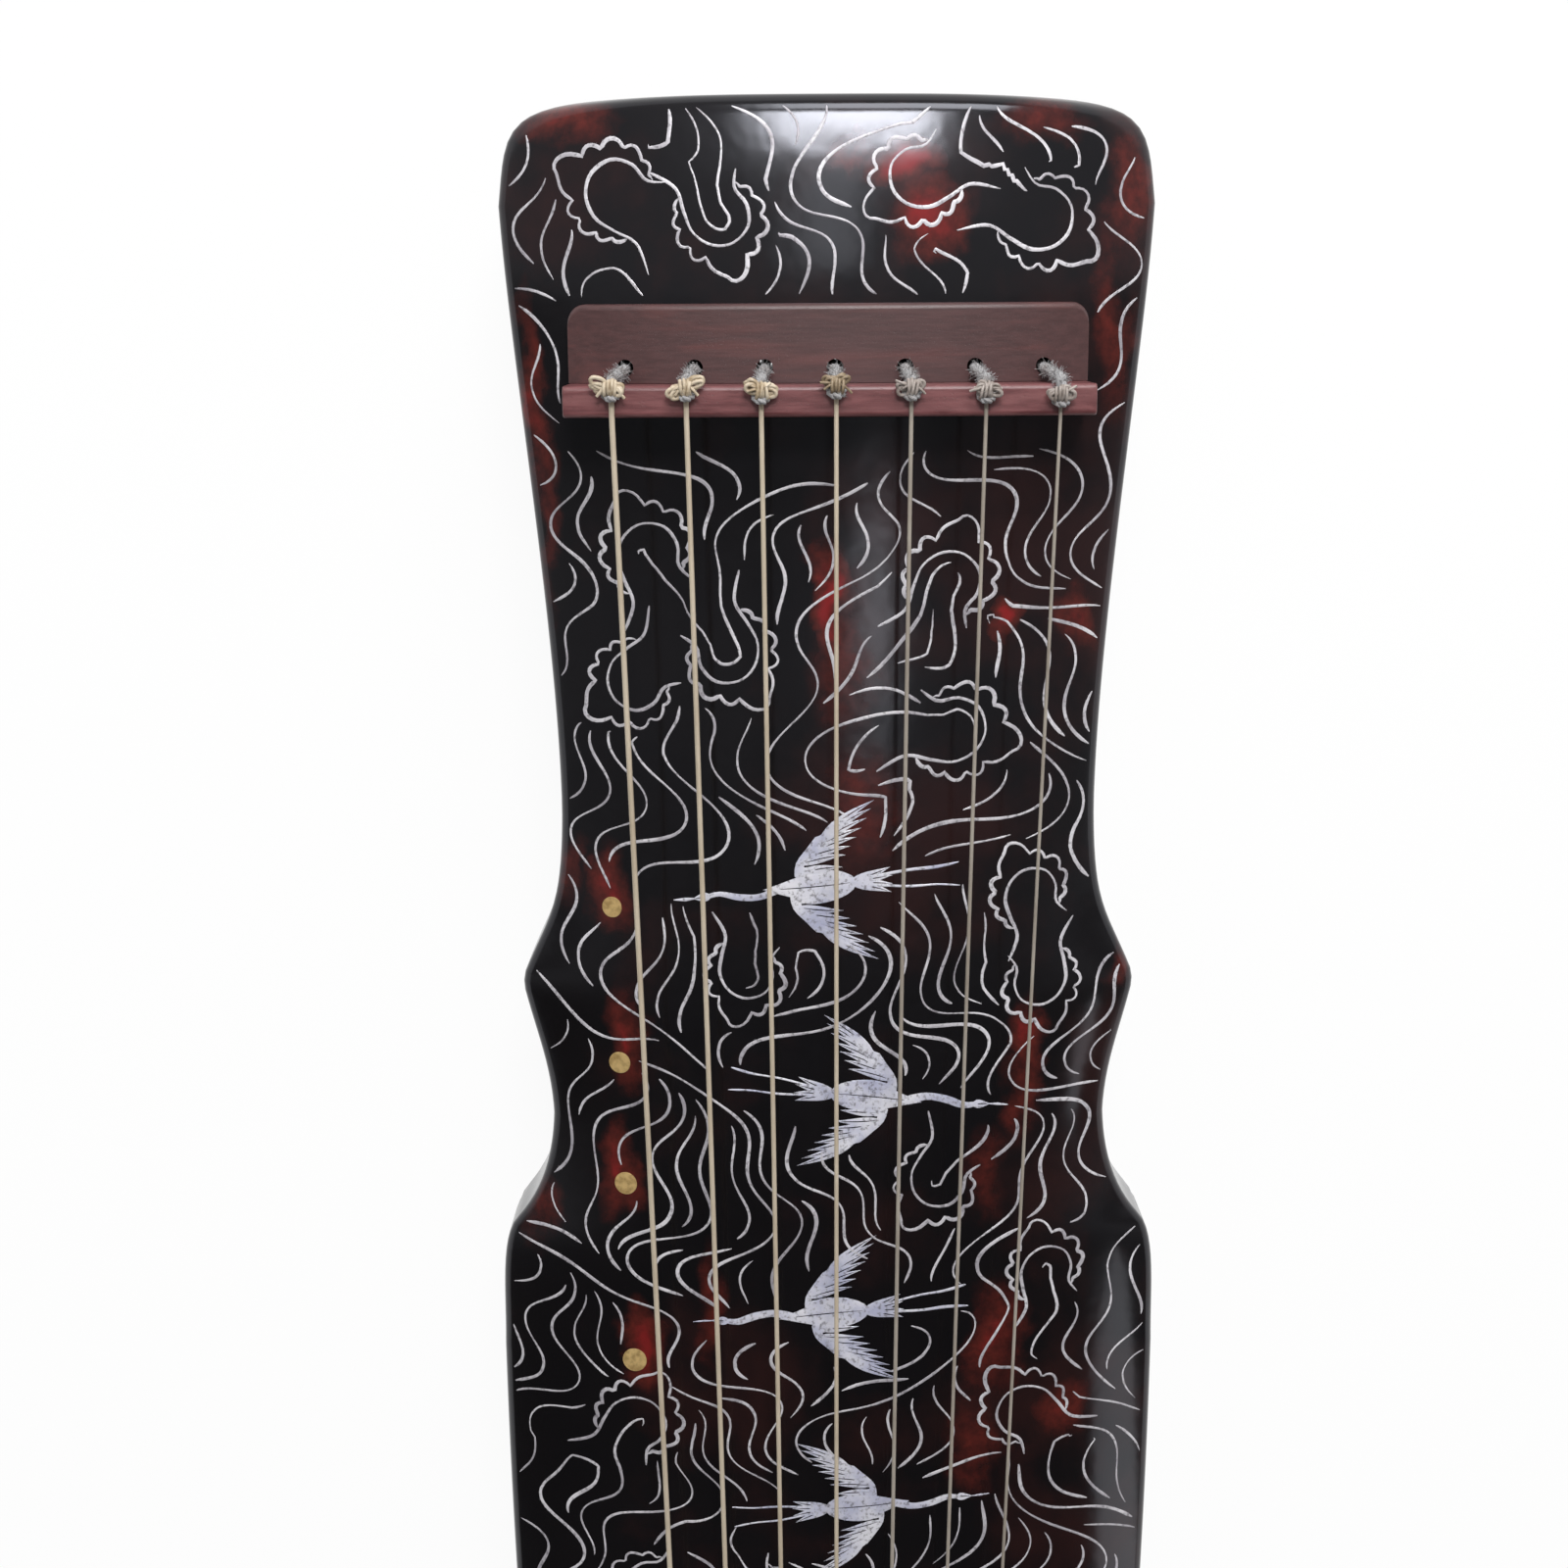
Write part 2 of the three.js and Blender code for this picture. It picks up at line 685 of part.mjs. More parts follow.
function bottomBoard() {
  const half = (x) => halfWidthAt(x) - bottomInset;
  const eased = (x) => half(x) - bottomEdgeRound;
  const blank = slab({
    stations,
    topRow: (x) => [-half(x), half(x)],
    bottomRow: (x) => [-half(x), -eased(x), eased(x), half(x)],
    top: seam,
    bottom: (x, y) => footHeight + Math.max(0, Math.abs(y) - eased(x)),
  });
  const socket = (y) => squarePillar(footX, y, socketHalf + fitGap, footHeight - overrun, seamZ + overrun);
  const rimmed = (x, length, width) =>
    slotTool(x, length + 2 * rimWidth + 2 * fitGap, width + 2 * rimWidth + 2 * fitGap);
  return cut(blank, [
    rimmed(longHoleX, longHoleLength, longHoleWidth),
    rimmed(shortHoleX, shortHoleLength, shortHoleWidth),
    platePocket(fitGap, footHeight - overrun, seamZ + overrun),
    tailTool(nutTailX + saddleLength + fitGap, footHeight - overrun, seamZ + overrun),
    socket(footY),
    socket(-footY),
  ]);
}

// Foot: a turned neck between a collar and a flared base, with a square tenon above.
function foot() {
  const rows = [
    [0, footRadius - footCollar / 2],
    [footCollar / 2, footRadius],
    [footFlare / 2, footRadius],
    [footFlare, footNeckRadius],
    [footHeight - footCollar, footNeckRadius],
    [footHeight - footCollar, footRadius],
    [footHeight, footRadius],
  ];
  const tenon = squarePillar(0, 0, tenonWidth / 2, footHeight - overrun, seamZ + mortiseDepth - fitGap);
  return join(turned(rows, 0, footSides), [tenon]);
}

// Socket: a square collar flush in the bottom board round the foot's tenon.
function footSocket() {
  const blank = squarePillar(0, 0, socketHalf, footHeight, seamZ);
  return cut(blank, [squarePillar(0, 0, tenonWidth / 2 + fitGap, footHeight - overrun, seamZ + overrun)]);
}

// Guard: a flat-ended block with cut corners that keeps the pegs off the floor.
function guard() {
  const [reach, side] = [guardLength / 2, guardWidth / 2];
  const shape = new THREE.Shape([
    new THREE.Vector2(-reach + guardCorner, 0),
    new THREE.Vector2(reach - guardCorner, 0),
    new THREE.Vector2(reach, guardEdge),
    new THREE.Vector2(reach, footHeight),
    new THREE.Vector2(-reach, footHeight),
    new THREE.Vector2(-reach, guardEdge),
  ]);
  const geometry = new THREE.ExtrudeGeometry(shape, { depth: guardWidth, bevelEnabled: false });
  return geometry.rotateX(Math.PI / 2).translate(0, side, 0);
}

// Posts stand on the bottom board and reach up under the arch.
function roundPost() {
  const x = xAt(roundPostShare * speakingLength);
  const top = boardTop(x, roundPostDiameter / 2) - boardWall - fitGap;
  return pillar(roundPostDiameter / 2, seamZ, top, postSides).translate(x, 0, 0);
}

function squarePost() {
  const x = xAt(squarePostShare * speakingLength);
  const reach = squarePostWidth / 2;
  const top = boardTop(x, reach) - boardWall - fitGap;
  return squarePillar(x, 0, reach, seamZ, top);
}

// Peg: a waisted, tapered key with a bore along its axis for the cord.
const pegTopZ = seamZ - fitGap;
const pegLength = pegTopZ - pegFloorGap;

function peg() {
  const rows = pegProfileShares.map(([height, width]) => [height * pegLength, width * pegRadius]);
  return turned(rows, pegBore / 2, pegSides);
}

// Peg cord: it comes up out of the peg, leans over the bridge's head edge and holds the string in a loop.
const cordRadius = cordDiameter / 2;
const loopRadius = loopDiameter / 2;
const loopSide = knotHalfWidth + loopRadius + restGap + cordLift;
const loopBack = knotHalfLength + loopRadius + restGap + cordLift;
const loopHead = knotHalfLength + cordRadius + restGap;
const knotX = bridgeHeadX - crestRound - loopHead;
// Loop points: along towards the head or the tail, out to the side, and up from low to high
const loopShares = [[1, 0, 0.3], [0.62, 0.68, 0.05], [0, 1, 0], [-0.7, 0.72, 0.4], [-1, 0, 1]];

function pegCord(number) {
  const y = stringY(number, 0);
  const crest = crestZ(y);
  const reach = cordRadius + restGap + cordLift;
  const over = quarterRound(bridgeHeadX - crestRound, crest - crestRound, crestRound + reach, 0, roundSteps);
  const trunkPoints = [
    point(pegX, pegY(number), pegTopZ - cordDepth),
    point(pegX, pegY(number), boardTop(stripTailX, pegY(number)) + stripRise),
    ...over.map(([x, z]) => point(x, y, z)),
  ];
  const end = trunkPoints.at(-1);
  const low = crest + restGap + loopRadius;
  const high = crest + 2 * restGap + 2 * stringRadius(number) + loopRadius + cordLift;
  const place = ([along, side, up]) =>
    point(knotX + along * (along > 0 ? loopHead : loopBack), y + side * loopSide, lerp(low, high, up));
  const oneSide = loopShares.map(place);
  const otherSide = loopShares.slice(0, -1).map(([along, side, up]) => place([along, -side, up]));
  const loopPath = new THREE.CatmullRomCurve3([...oneSide, ...otherSide.reverse()]);
  const section = Array.from({ length: loopSides }, (_, i) => {
    const angle = (i / loopSides) * 2 * Math.PI;
    return new THREE.Vector2(Math.cos(angle) * loopRadius, Math.sin(angle) * loopRadius);
  });
  const options = { steps: loopSteps, extrudePath: loopPath, bevelEnabled: false };
  const loop = new THREE.ExtrudeGeometry(new THREE.Shape(section), options);
  const trunk = tubeThrough(trunkPoints, cordRadius, cordSides);
  const bead = new THREE.SphereGeometry(cordRadius, cordSides, cordSides / 2).translate(end.x, end.y, end.z);
  return join(trunk, [bead, loop]);
}

// Winding of each string: which foot, and the height of its first turn.
const windings = numbers.map((number) => {
  const far = number <= farFootStrings;
  const before = numbers.filter((other) => other < number && other <= farFootStrings === far);
  const room = (other) => {
    const width = 2 * stringRadius(other);
    return windingTurns * (width + windingGap) + width + windingSpacing;
  };
  const used = before.reduce((sum, other) => sum + room(other), 0);
  const top = footHeight - footCollar - windingGap - stringRadius(number) - used;
  return { side: far ? 1 : -1, top, pitch: 2 * stringRadius(number) + windingGap };
});

// The turns of a string round its foot, from where its straight run touches the neck.
function windingPoints(number, from) {
  const { side, top, pitch } = windings[number - 1];
  const radius = footNeckRadius / Math.cos(Math.PI / footSides) + restGap + stringRadius(number);
  const centre = point(footX, side * footY, 0);
  const away = Math.hypot(from.x - centre.x, from.y - centre.y);
  const start = Math.atan2(from.y - centre.y, from.x - centre.x) + side * Math.acos(radius / away);
  const steps = windingTurns * windingSteps;
  const points = Array.from({ length: steps + 1 }, (_, i) => {
    const angle = start + (side * i * 2 * Math.PI) / windingSteps;
    const height = top - (pitch * i) / windingSteps;
    return point(centre.x + Math.cos(angle) * radius, centre.y + Math.sin(angle) * radius, height);
  });
  const lastStep = points.at(-1).clone().sub(points.at(-2)).setLength(2 * stringRadius(number));
  return [...points, points.at(-1).clone().add(lastStep)];
}

// The way of a string: its knot, the bridge, the nut, round the tail, under the saddle and round a foot.
function stringWay(number) {
  const rest = stringRadius(number) + restGap;
  const [yBridge, yTail] = [stringY(number, 0), stringY(number, speakingLength)];
  const crest = crestZ(yBridge) + rest;
  const nut = nutTop(yTail);
  const overNut = quarterRound(nutTailX + nutRound, nut - nutRound, nutRound + rest, Math.PI / 2, roundSteps);
  const underSaddle = quarterRound(
    nutTailX + saddleRound,
    footHeight + saddleRound,
    saddleRound + rest,
    Math.PI,
    roundSteps,
  );
  const tail = [...overNut, ...underSaddle].map(([x, z]) => point(x, yTail, z));
  return [
    point(knotX, yBridge, crest),
    point(bridgeX + crestRound, yBridge, crest),
    point(nutInnerX, yTail, nut + rest),
    ...tail,
    ...windingPoints(number, tail.at(-1)),
  ];
}

function string(number) {
  const tube = tubeThrough(stringWay(number), stringRadius(number), stringSides);
  const y = stringY(number, 0);
  const knot = new THREE.SphereGeometry(1, knotSides, knotSides - 2);
  knot.scale(knotHalfLength, knotHalfWidth, knotHalfHeight);
  knot.translate(knotX, y, crestZ(y) + restGap + knotHalfHeight);
  return join(tube, [knot]);
}

// The least gap of a winding to itself, between points at least half a turn apart.
function windingClearance(number) {
  const way = stringWay(number);
  const points = way.slice(way.length - windingTurns * windingSteps - 2);
  const apart = windingSteps / 2;
  let least = Infinity;
  points.forEach((here, i) => {
    points.slice(i + apart).forEach((there) => {
      least = Math.min(least, here.distanceTo(there));
    });
  });
  return least - 2 * stringRadius(number);
}

const clearances = numbers.map(windingClearance);
console.log("least gap of a string's winding to itself, mm: " + Math.min(...clearances).toFixed(2));

const zither = new THREE.Group();

function add(name, geometry, material, position, quaternion) {
  const mesh = new THREE.Mesh(geometry, material);
  mesh.name = name;
  if (position) mesh.position.copy(position);
  if (quaternion) mesh.quaternion.copy(quaternion);
  zither.add(mesh);
}

add("soundboard", soundboard(), lacquer);
add("bottom_board", bottomBoard(), lacquer);
add("bridge", bridge(), rosyWood);
add("head_strip", strip(), darkWood);
add("tail_nut", tailNut(), darkWood);
add("tail_saddle", saddle(), darkWood);
add("peg_plate", pegPlate(), darkWood);
add("long_hole_rim", rim(longHoleLength, longHoleWidth), darkWood, point(longHoleX, 0, footHeight));
add("short_hole_rim", rim(shortHoleLength, shortHoleWidth), darkWood, point(shortHoleX, 0, footHeight));
add("round_post", roundPost(), plainWood);
add("square_post", squarePost(), plainWood);
[["left", 1], ["right", -1]].forEach(([hand, side]) => {
  add("corner_inlay_" + hand, cornerPlate(side, 0), darkWood);
  add("peg_guard_" + hand, guard(), darkWood, point(pegX, side * guardY, 0));
  add("foot_" + hand, foot(), darkWood, point(footX, side * footY, 0));
  add("foot_socket_" + hand, footSocket(), darkWood, point(footX, side * footY, 0));
});
studs.forEach((stud, i) => {
  add("stud_" + String(i + 1).padStart(2, "0"), studSolid(stud), brass, stud.at, stud.turn);
});
numbers.forEach((number) => {
  add("string_" + number, string(number), silk);
  add("peg_" + number, peg(), darkWood, point(pegX, pegY(number), pegFloorGap));
  add("peg_cord_" + number, pegCord(number), wool);
});

export default zither;
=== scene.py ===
import bisect
import math
import random

import bmesh
import bpy
from mathutils import Matrix, Vector


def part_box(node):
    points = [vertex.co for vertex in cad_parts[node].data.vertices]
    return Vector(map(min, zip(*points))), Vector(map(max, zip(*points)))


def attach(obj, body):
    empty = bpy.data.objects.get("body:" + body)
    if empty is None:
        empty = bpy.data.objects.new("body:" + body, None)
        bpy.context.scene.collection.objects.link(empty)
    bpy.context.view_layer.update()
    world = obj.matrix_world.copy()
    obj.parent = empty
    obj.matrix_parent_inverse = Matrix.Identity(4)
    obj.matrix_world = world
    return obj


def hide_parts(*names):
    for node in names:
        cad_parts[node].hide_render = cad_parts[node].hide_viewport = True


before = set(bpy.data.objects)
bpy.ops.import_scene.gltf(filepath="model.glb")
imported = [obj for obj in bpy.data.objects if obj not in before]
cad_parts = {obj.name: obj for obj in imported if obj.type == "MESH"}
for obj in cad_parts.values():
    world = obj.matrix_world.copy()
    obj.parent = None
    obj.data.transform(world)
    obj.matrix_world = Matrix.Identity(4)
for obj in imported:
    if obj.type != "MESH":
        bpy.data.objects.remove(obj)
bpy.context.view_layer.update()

scene = bpy.context.scene

# ---- Camera ----
# A normal lens held above the head end. It looks down on the strings, leaning twelve degrees
# towards the tail, so that the zither lies upright in the picture.
lean = math.radians(12.11)
turn = math.radians(0.32)
look = Vector((-math.sin(lean), 0, -math.cos(lean)))
level_up = Vector((math.cos(lean), 0, -math.sin(lean)))
level_right = Vector((0, -1, 0))
camera_up = math.cos(turn) * level_up + math.sin(turn) * level_right
camera_right = math.cos(turn) * level_right - math.sin(turn) * level_up
camera_data = bpy.data.cameras.new("camera")
camera_data.lens = 51.12
camera_data.sensor_width = 36
camera_data.clip_start = 0.01
camera = bpy.data.objects.new("camera", camera_data)
scene.collection.objects.link(camera)
camera.matrix_world = Matrix.Translation((0.5652, 0.0129, 0.7028)) @ Matrix(
    (camera_right, camera_up, -look)
).transposed().to_4x4()
scene.camera = camera


# ---- Studio floor, sky and lamps ----
# A white floor that the zither stands on, a plain sky that is white at the horizon and dim overhead,
# and six soft lamps: three beyond the head, one over the strings, one on the player's side and one
# past the tail.
class Tone:
    """A value, vector or colour on its way through a material. Arithmetic on it adds nodes."""

    def __init__(self, tree, socket=None):
        self.tree = tree
        self.socket = socket

    def node(self, kind, settings=None, values=None, output=0):
        made = self.tree.nodes.new(kind)
        for name, value in (settings or {}).items():
            setattr(made, name, value)
        for name, value in (values or {}).items():
            socket = made.inputs[name]
            if isinstance(value, Tone):
                self.tree.links.new(value.socket, socket)
            elif socket.type == "RGBA":
                socket.default_value = (*value, 1)
            elif socket.type == "VECTOR" and isinstance(value, (int, float)):
                socket.default_value = (value, value, value)
            else:
                socket.default_value = value
        return Tone(self.tree, made.outputs[output])

    def reckon(self, operation, first, second=0):
        wide = any(
            isinstance(one, tuple) or isinstance(one, Tone) and one.socket.type in ("VECTOR", "RGBA")
            for one in (first, second)
        )
        kind = "ShaderNodeVectorMath" if wide else "ShaderNodeMath"
        return self.node(kind, {"operation": operation}, {0: first, 1: second})

    def __add__(self, other):
        return self.reckon("ADD", self, other)

    def __sub__(self, other):
        return self.reckon("SUBTRACT", self, other)

    def __rsub__(self, other):
        return self.reckon("SUBTRACT", other, self)

    def __mul__(self, other):
        return self.reckon("MULTIPLY", self, other)

    __radd__ = __add__
    __rmul__ = __mul__

    def larger(self, other):
        return self.reckon("MAXIMUM", self, other)

    def size(self):
        return self.node("ShaderNodeVectorMath", {"operation": "LENGTH"}, {0: self}, "Value")

    def ease(self, low, high):
        settings = {"interpolation_type": "SMOOTHSTEP"}
        return self.node("ShaderNodeMapRange", settings, {"Value": self, "From Min": low, "From Max": high})

    def blend(self, colour, other):
        """The first colour where this tone is 0, the other one where it is 1."""
        return self.node("ShaderNodeMix", {"data_type": "RGBA"}, {0: self, 6: colour, 7: other}, 2)

    def split(self):
        return [self.node("ShaderNodeSeparateXYZ", None, {0: self}, axis) for axis in "XYZ"]

    def cloud(self, grain, detail=4, rough=0.55, smear=0):
        """A soft irregular tone from 0 to 1 with patches of about the size of the grain, in metres."""
        values = {"Vector": self, "Scale": 1 / grain, "Detail": detail, "Roughness": rough}
        values["Distortion"] = smear
        return self.node("ShaderNodeTexNoise", None, values)

    def astray(self, detail, reach):
        """This place, led astray by a noise, to a reach in metres."""
        values = {"Vector": self, "Scale": 60, "Detail": detail, "Roughness": 0.5}
        return self + (self.node("ShaderNodeTexNoise", None, values, "Color") - 0.5) * reach

    def dent(self, depth):
        """A surface direction, dented by this tone to a depth in metres."""
        return self.node("ShaderNodeBump", None, {"Height": self, "Distance": depth})

    def surface(self, values):
        """Ends the material of this tone in one surface with these values."""
        self.node("ShaderNodeBsdfPrincipled", None, values).finish()

    def finish(self, kind="ShaderNodeOutputMaterial"):
        """Ends the nodes in this surface."""
        ending = self.tree.nodes.new(kind)
        self.tree.links.new(self.socket, ending.inputs["Surface"])


def new_finish(name):
    """A bare material, and the tone of the place on the zither to build it from."""
    material = bpy.data.materials.new(name)
    material.use_nodes = True
    material.node_tree.nodes.clear()
    place = Tone(material.node_tree).node("ShaderNodeTexCoord", output="Object")
    return material, place


floor_mesh = bpy.data.meshes.new("floor")
far = 9
floor_mesh.from_pydata([(-far, -far, 0), (far, -far, 0), (far, far, 0), (-far, far, 0)], [], [(0, 1, 2, 3)])
floor = bpy.data.objects.new("floor", floor_mesh)
scene.collection.objects.link(floor)
floor_paint, floor_place = new_finish("floor_paint")
seen = floor_place.node("ShaderNodeLightPath", output="Is Camera Ray")
seen = seen.larger(floor_place.node("ShaderNodeLightPath", output="Is Glossy Ray"))
seen = seen.larger(floor_place.node("ShaderNodeLightPath", output="Is Transmission Ray"))
matt = floor_place.node("ShaderNodeBsdfDiffuse", None, {"Color": (0.86, 0.86, 0.86)})
bright = floor_place.node("ShaderNodeEmission", None, {"Color": (1, 1, 1), "Strength": 1})
shown = floor_place.node("ShaderNodeMixShader", None, {0: seen * 0.93, 1: matt, 2: bright})
below = floor_place.node("ShaderNodeNewGeometry", output="Backfacing")
clear = floor_place.node("ShaderNodeBsdfTransparent")
floor_place.node("ShaderNodeMixShader", None, {0: below, 1: shown, 2: clear}).finish()
floor_mesh.materials.append(floor_paint)

world = bpy.data.worlds.new("sky")
scene.world = world
world.use_nodes = True
world.node_tree.nodes.clear()
direction = Tone(world.node_tree).node("ShaderNodeTexCoord", output="Generated")
toward_head, _, height = direction.split()
overhead = toward_head.ease(-0.42, 0.02) * 0.4 + 0.05
overhead = overhead * (1 - toward_head.ease(-0.16, -0.07) * toward_head.ease(0.02, -0.03) * 0.7)
strength = overhead.larger(height.ease(0.2, 0.04))
sky = direction.node("ShaderNodeBackground", None, {"Color": (1, 1, 1), "Strength": strength})
sky.finish("ShaderNodeOutputWorld")


def hang_lamp(name, place, aim, along, across, radiance):
    """A soft rectangular lamp, aimed at a point. A mirror would show its radiance."""
    data = bpy.data.lights.new(name, "AREA")
    data.shape = "RECTANGLE"
    data.size, data.size_y = along, across
    data.energy = radiance * along * across * math.pi
    lamp = bpy.data.objects.new(name, data)
    scene.collection.objects.link(lamp)
    back = (Vector(place) - Vector(aim)).normalized()
    side = (Vector((0, 1, 0)) - back * back.y).normalized()
    facing = Matrix((side.cross(back), side, back)).transposed().to_4x4()
    lamp.matrix_world = Matrix.Translation(place) @ facing
    lamp.visible_camera = False


# Each lamp: its place, where it is aimed, its size along and across, and its radiance.
hang_lamp("head_lamp", (1.4, -0.1, 1.4), (0.61, 0, 0.075), 0.3, 0.5, 35)
hang_lamp("edge_lamp", (1.95, -0.25, 0.95), (0.61, 0, 0.07), 0.7, 0.8, 10)
hang_lamp("front_lamp", (0.965, -0.03, 1.55), (0.6, 0, 0.08), 0.46, 0.2, 2.2)
hang_lamp("middle_lamp", (0.263, -0.18, 1.6), (0.47, -0.02, 0.08), 0.2, 0.09, 4.6)
hang_lamp("side_lamp", (-0.75, -1.5, 0.75), (0.1, -0.05, 0.08), 0.9, 0.5, 1.6)
hang_lamp("far_lamp", (-1.5, 0.6, 1.3), (-0.3, 0, 0.08), 0.6, 0.8, 2.2)


# ---- Soundboard ----
# One long board of soft wood, arched on top and hollowed underneath, cut to a waisted outline.
# Its edges are rolled at both ends and it is lacquered black-brown, with red showing in clouds.
# The outline is given as places and half widths in millimetres, from the head to the tail.
MM = 0.001
end_x = 622
bridge_x = 536
head_fall_x = 564.5
speaking = 1140
body_half = 101
nut_x = -604
turns = [(end_x, 45.05), (593.02, 92.31)]
for share, half in (
    (0.101, 0.777), (0.1465, 0.906), (0.1496, 0.906), (0.1842, 0.826), (0.2158, 0.9565),
    (0.2518, 1), (0.6, 0.83), (0.702, 0.723), (0.8, 0.782),
):
    turns.append((bridge_x - speaking * share, body_half * half))
turns += [(nut_x, 72.52), (-end_x, 54.52)]
# The bend of the outline between two turns: its two guiding points, as shares of length and width.
stretches = (
    (0.01, 1, 0.22, 0.95), (0.3, 0.26, 0.7, 0.99), (0.61, 0.05, 0.61, 0.36), (0.33, 0.33, 0.67, 0.67),
    (0.34, 0.37, 0.61, 0.94), (0.46, 0.06, 0.76, 0.42), (0.2, 1.19, 0.61, 0.85), (0.33, 0, 0.7, 0.62),
    (0.25, 0.5, 0.6, 1), (0.4, 0, 0.75, 0.5), (0.33, 0.33, 0.67, 0.67), (0.552, 0, 1, 0.448),
)


def mix(low, high, share):
    return low + (high - low) * share


def clamp(value, low, high):
    return min(max(value, low), high)


outline = []
for (x1, h1), (x2, h2), (a1, c1, a2, c2) in zip(turns, turns[1:], stretches):
    for step in range(48):
        t = step / 48
        shares = ((1 - t) ** 3, 3 * t * (1 - t) ** 2, 3 * t * t * (1 - t), t**3)
        xs = (x1, mix(x1, x2, a1), mix(x1, x2, a2), x2)
        hs = (h1, mix(h1, h2, c1), mix(h1, h2, c2), h2)
        outline.append(tuple(sum(s * value for s, value in zip(shares, row)) for row in (xs, hs)))
outline.append(turns[-1])
outline.reverse()
outline_places = [x for x, _ in outline]


def half_width(x):
    x = clamp(x, -end_x, end_x)
    after = clamp(bisect.bisect_left(outline_places, x), 1, len(outline) - 1)
    (x1, h1), (x2, h2) = outline[after - 1], outline[after]
    return h1 if x2 == x1 else mix(h1, h2, (x - x1) / (x2 - x1))


def roll_drop(distance, radius):
    short = clamp(radius - distance, 0, radius)
    return radius - math.sqrt(radius * radius - short * short)


crown_height = 80
tail_fall = 6.3
head_fall = 7
head_arch = 22
tail_arch = 16
head_roll = 5
tail_roll = 4


def board_top(x, y):
    """Height of the board's top in millimetres."""
    along = clamp((bridge_x - x) / (bridge_x + end_x), 0, 1)
    beyond = clamp((x - head_fall_x) / (end_x - head_fall_x), 0, 1)
    arch = 0.6 * (y / body_half) ** 2 + 0.4 * min(abs(y) / half_width(x), 1) ** 6
    crown = crown_height - tail_fall * along * along - head_fall * beyond * beyond
    rolls = roll_drop(end_x - x, head_roll) + roll_drop(x + end_x, tail_roll)
    return crown - mix(head_arch, tail_arch, along) * arch - rolls


def bare_piece(name, points, faces):
    """A piece with a mesh from points in millimetres."""
    mesh = bpy.data.meshes.new(name)
    mesh.from_pydata([tuple(c * MM for c in point) for point in points], [], faces)
    piece = bpy.data.objects.new(name, mesh)
    scene.collection.objects.link(piece)
    return piece


def shape_piece(name, points, faces, crease=32):
    """A smooth piece, with sharp edges where faces meet at more than the crease in degrees."""
    piece = bare_piece(name, points, faces)
    smooth_piece(piece, crease)
    return piece


def smooth_piece(piece, crease=32):
    work = bmesh.new()
    work.from_mesh(piece.data)
    bmesh.ops.remove_doubles(work, verts=work.verts, dist=1e-7)
    bmesh.ops.recalc_face_normals(work, faces=work.faces)
    for face in work.faces:
        face.smooth = True
    for edge in work.edges:
        edge.smooth = len(edge.link_faces) == 2 and edge.calc_face_angle(0) < math.radians(crease)
    work.to_mesh(piece.data)
    work.free()


def ring_faces(rings, count, caps=True):
    """Faces of a skin over equally long rings of points."""
    faces = []
    for r in range(rings - 1):
        for i in range(count):
            j = (i + 1) % count
            faces.append((r * count + i, r * count + j, (r + 1) * count + j, (r + 1) * count + i))
    if caps:
        faces.append(tuple(range(count - 1, -1, -1)))
        faces.append(tuple(range((rings - 1) * count, rings * count)))
    return faces


def ring_piece(name, rings, crease=32):
    """A smooth closed piece over equally long rings of points."""
    points = [point for ring in rings for point in ring]
    return shape_piece(name, points, ring_faces(len(rings), len(rings[0])), crease)


def level_piece(name, outline, low, high):
    """A piece with the same outline of (x, y) points from its bottom to its top."""
    return ring_piece(name, [[(x, y, z) for x, y in outline] for z in (low, high)])


def cross_piece(name, places, section):
    """A piece across the zither. At each place its section is a row of (x, z) points."""
    return ring_piece(name, [[(x, y, z) for x, z in section(y)] for y in places])


def arc(cx, cz, radius, first, last, steps):
    """Points on a round edge, from one angle to another in degrees."""
    angles = [math.radians(mix(first, last, i / steps)) for i in range(steps + 1)]
    return [(cx + radius * math.cos(a), cz + radius * math.sin(a)) for a in angles]


def carve(piece, cutters, crease=32):
    """Cuts other pieces out of a piece and takes them away."""
    for cutter in cutters:
        cutting = piece.modifiers.new("cut", "BOOLEAN")
        cutting.operation = "DIFFERENCE"
        cutting.solver = "EXACT"
        cutting.object = cutter
    carved = bpy.data.meshes.new_from_object(piece.evaluated_get(bpy.context.evaluated_depsgraph_get()))
    piece.modifiers.clear()
    piece.data = carved
    carved.name = piece.name
    for cutter in cutters:
        bpy.data.objects.remove(cutter)
    smooth_piece(piece, crease)


def block(name, low, high):
    """A plain block between two corners, for cutting or as the start of a shape."""
    (x1, y1, z1), (x2, y2, z2) = low, high
    return level_piece(name, ((x1, y1), (x2, y1), (x2, y2), (x1, y2)), z1, z2)


def fit(piece, material, slot, *nodes, body="root"):
    """Gives a piece its material, hangs it on its body and lets it stand for CAD nodes."""
    piece.data.materials.clear()
    piece.data.materials.append(material)
    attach(piece, body)
    if slot:
        # Large faces keep their own shading, so that only their rounded edges turn the light.
        piece.modifiers.new("flat_faces", "WEIGHTED_NORMAL").keep_sharp = True
    if nodes:
        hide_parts(*nodes)
    return piece


stations = [-end_x]
walked = 0
for (x1, h1), (x2, h2) in zip(outline, outline[1:]):
    walked += math.hypot(x2 - x1, h2 - h1)
    if walked > 2.8 and x2 > stations[-1] + 1e-3:
        stations.append(x2)
        walked = 0
if stations[-1] < end_x:
    stations.append(end_x)

edge_round = 2.2
seam_z = 40
board_wall = 14
column_shares = [math.sin(i / 22 * math.pi / 2) for i in range(-22, 23)]


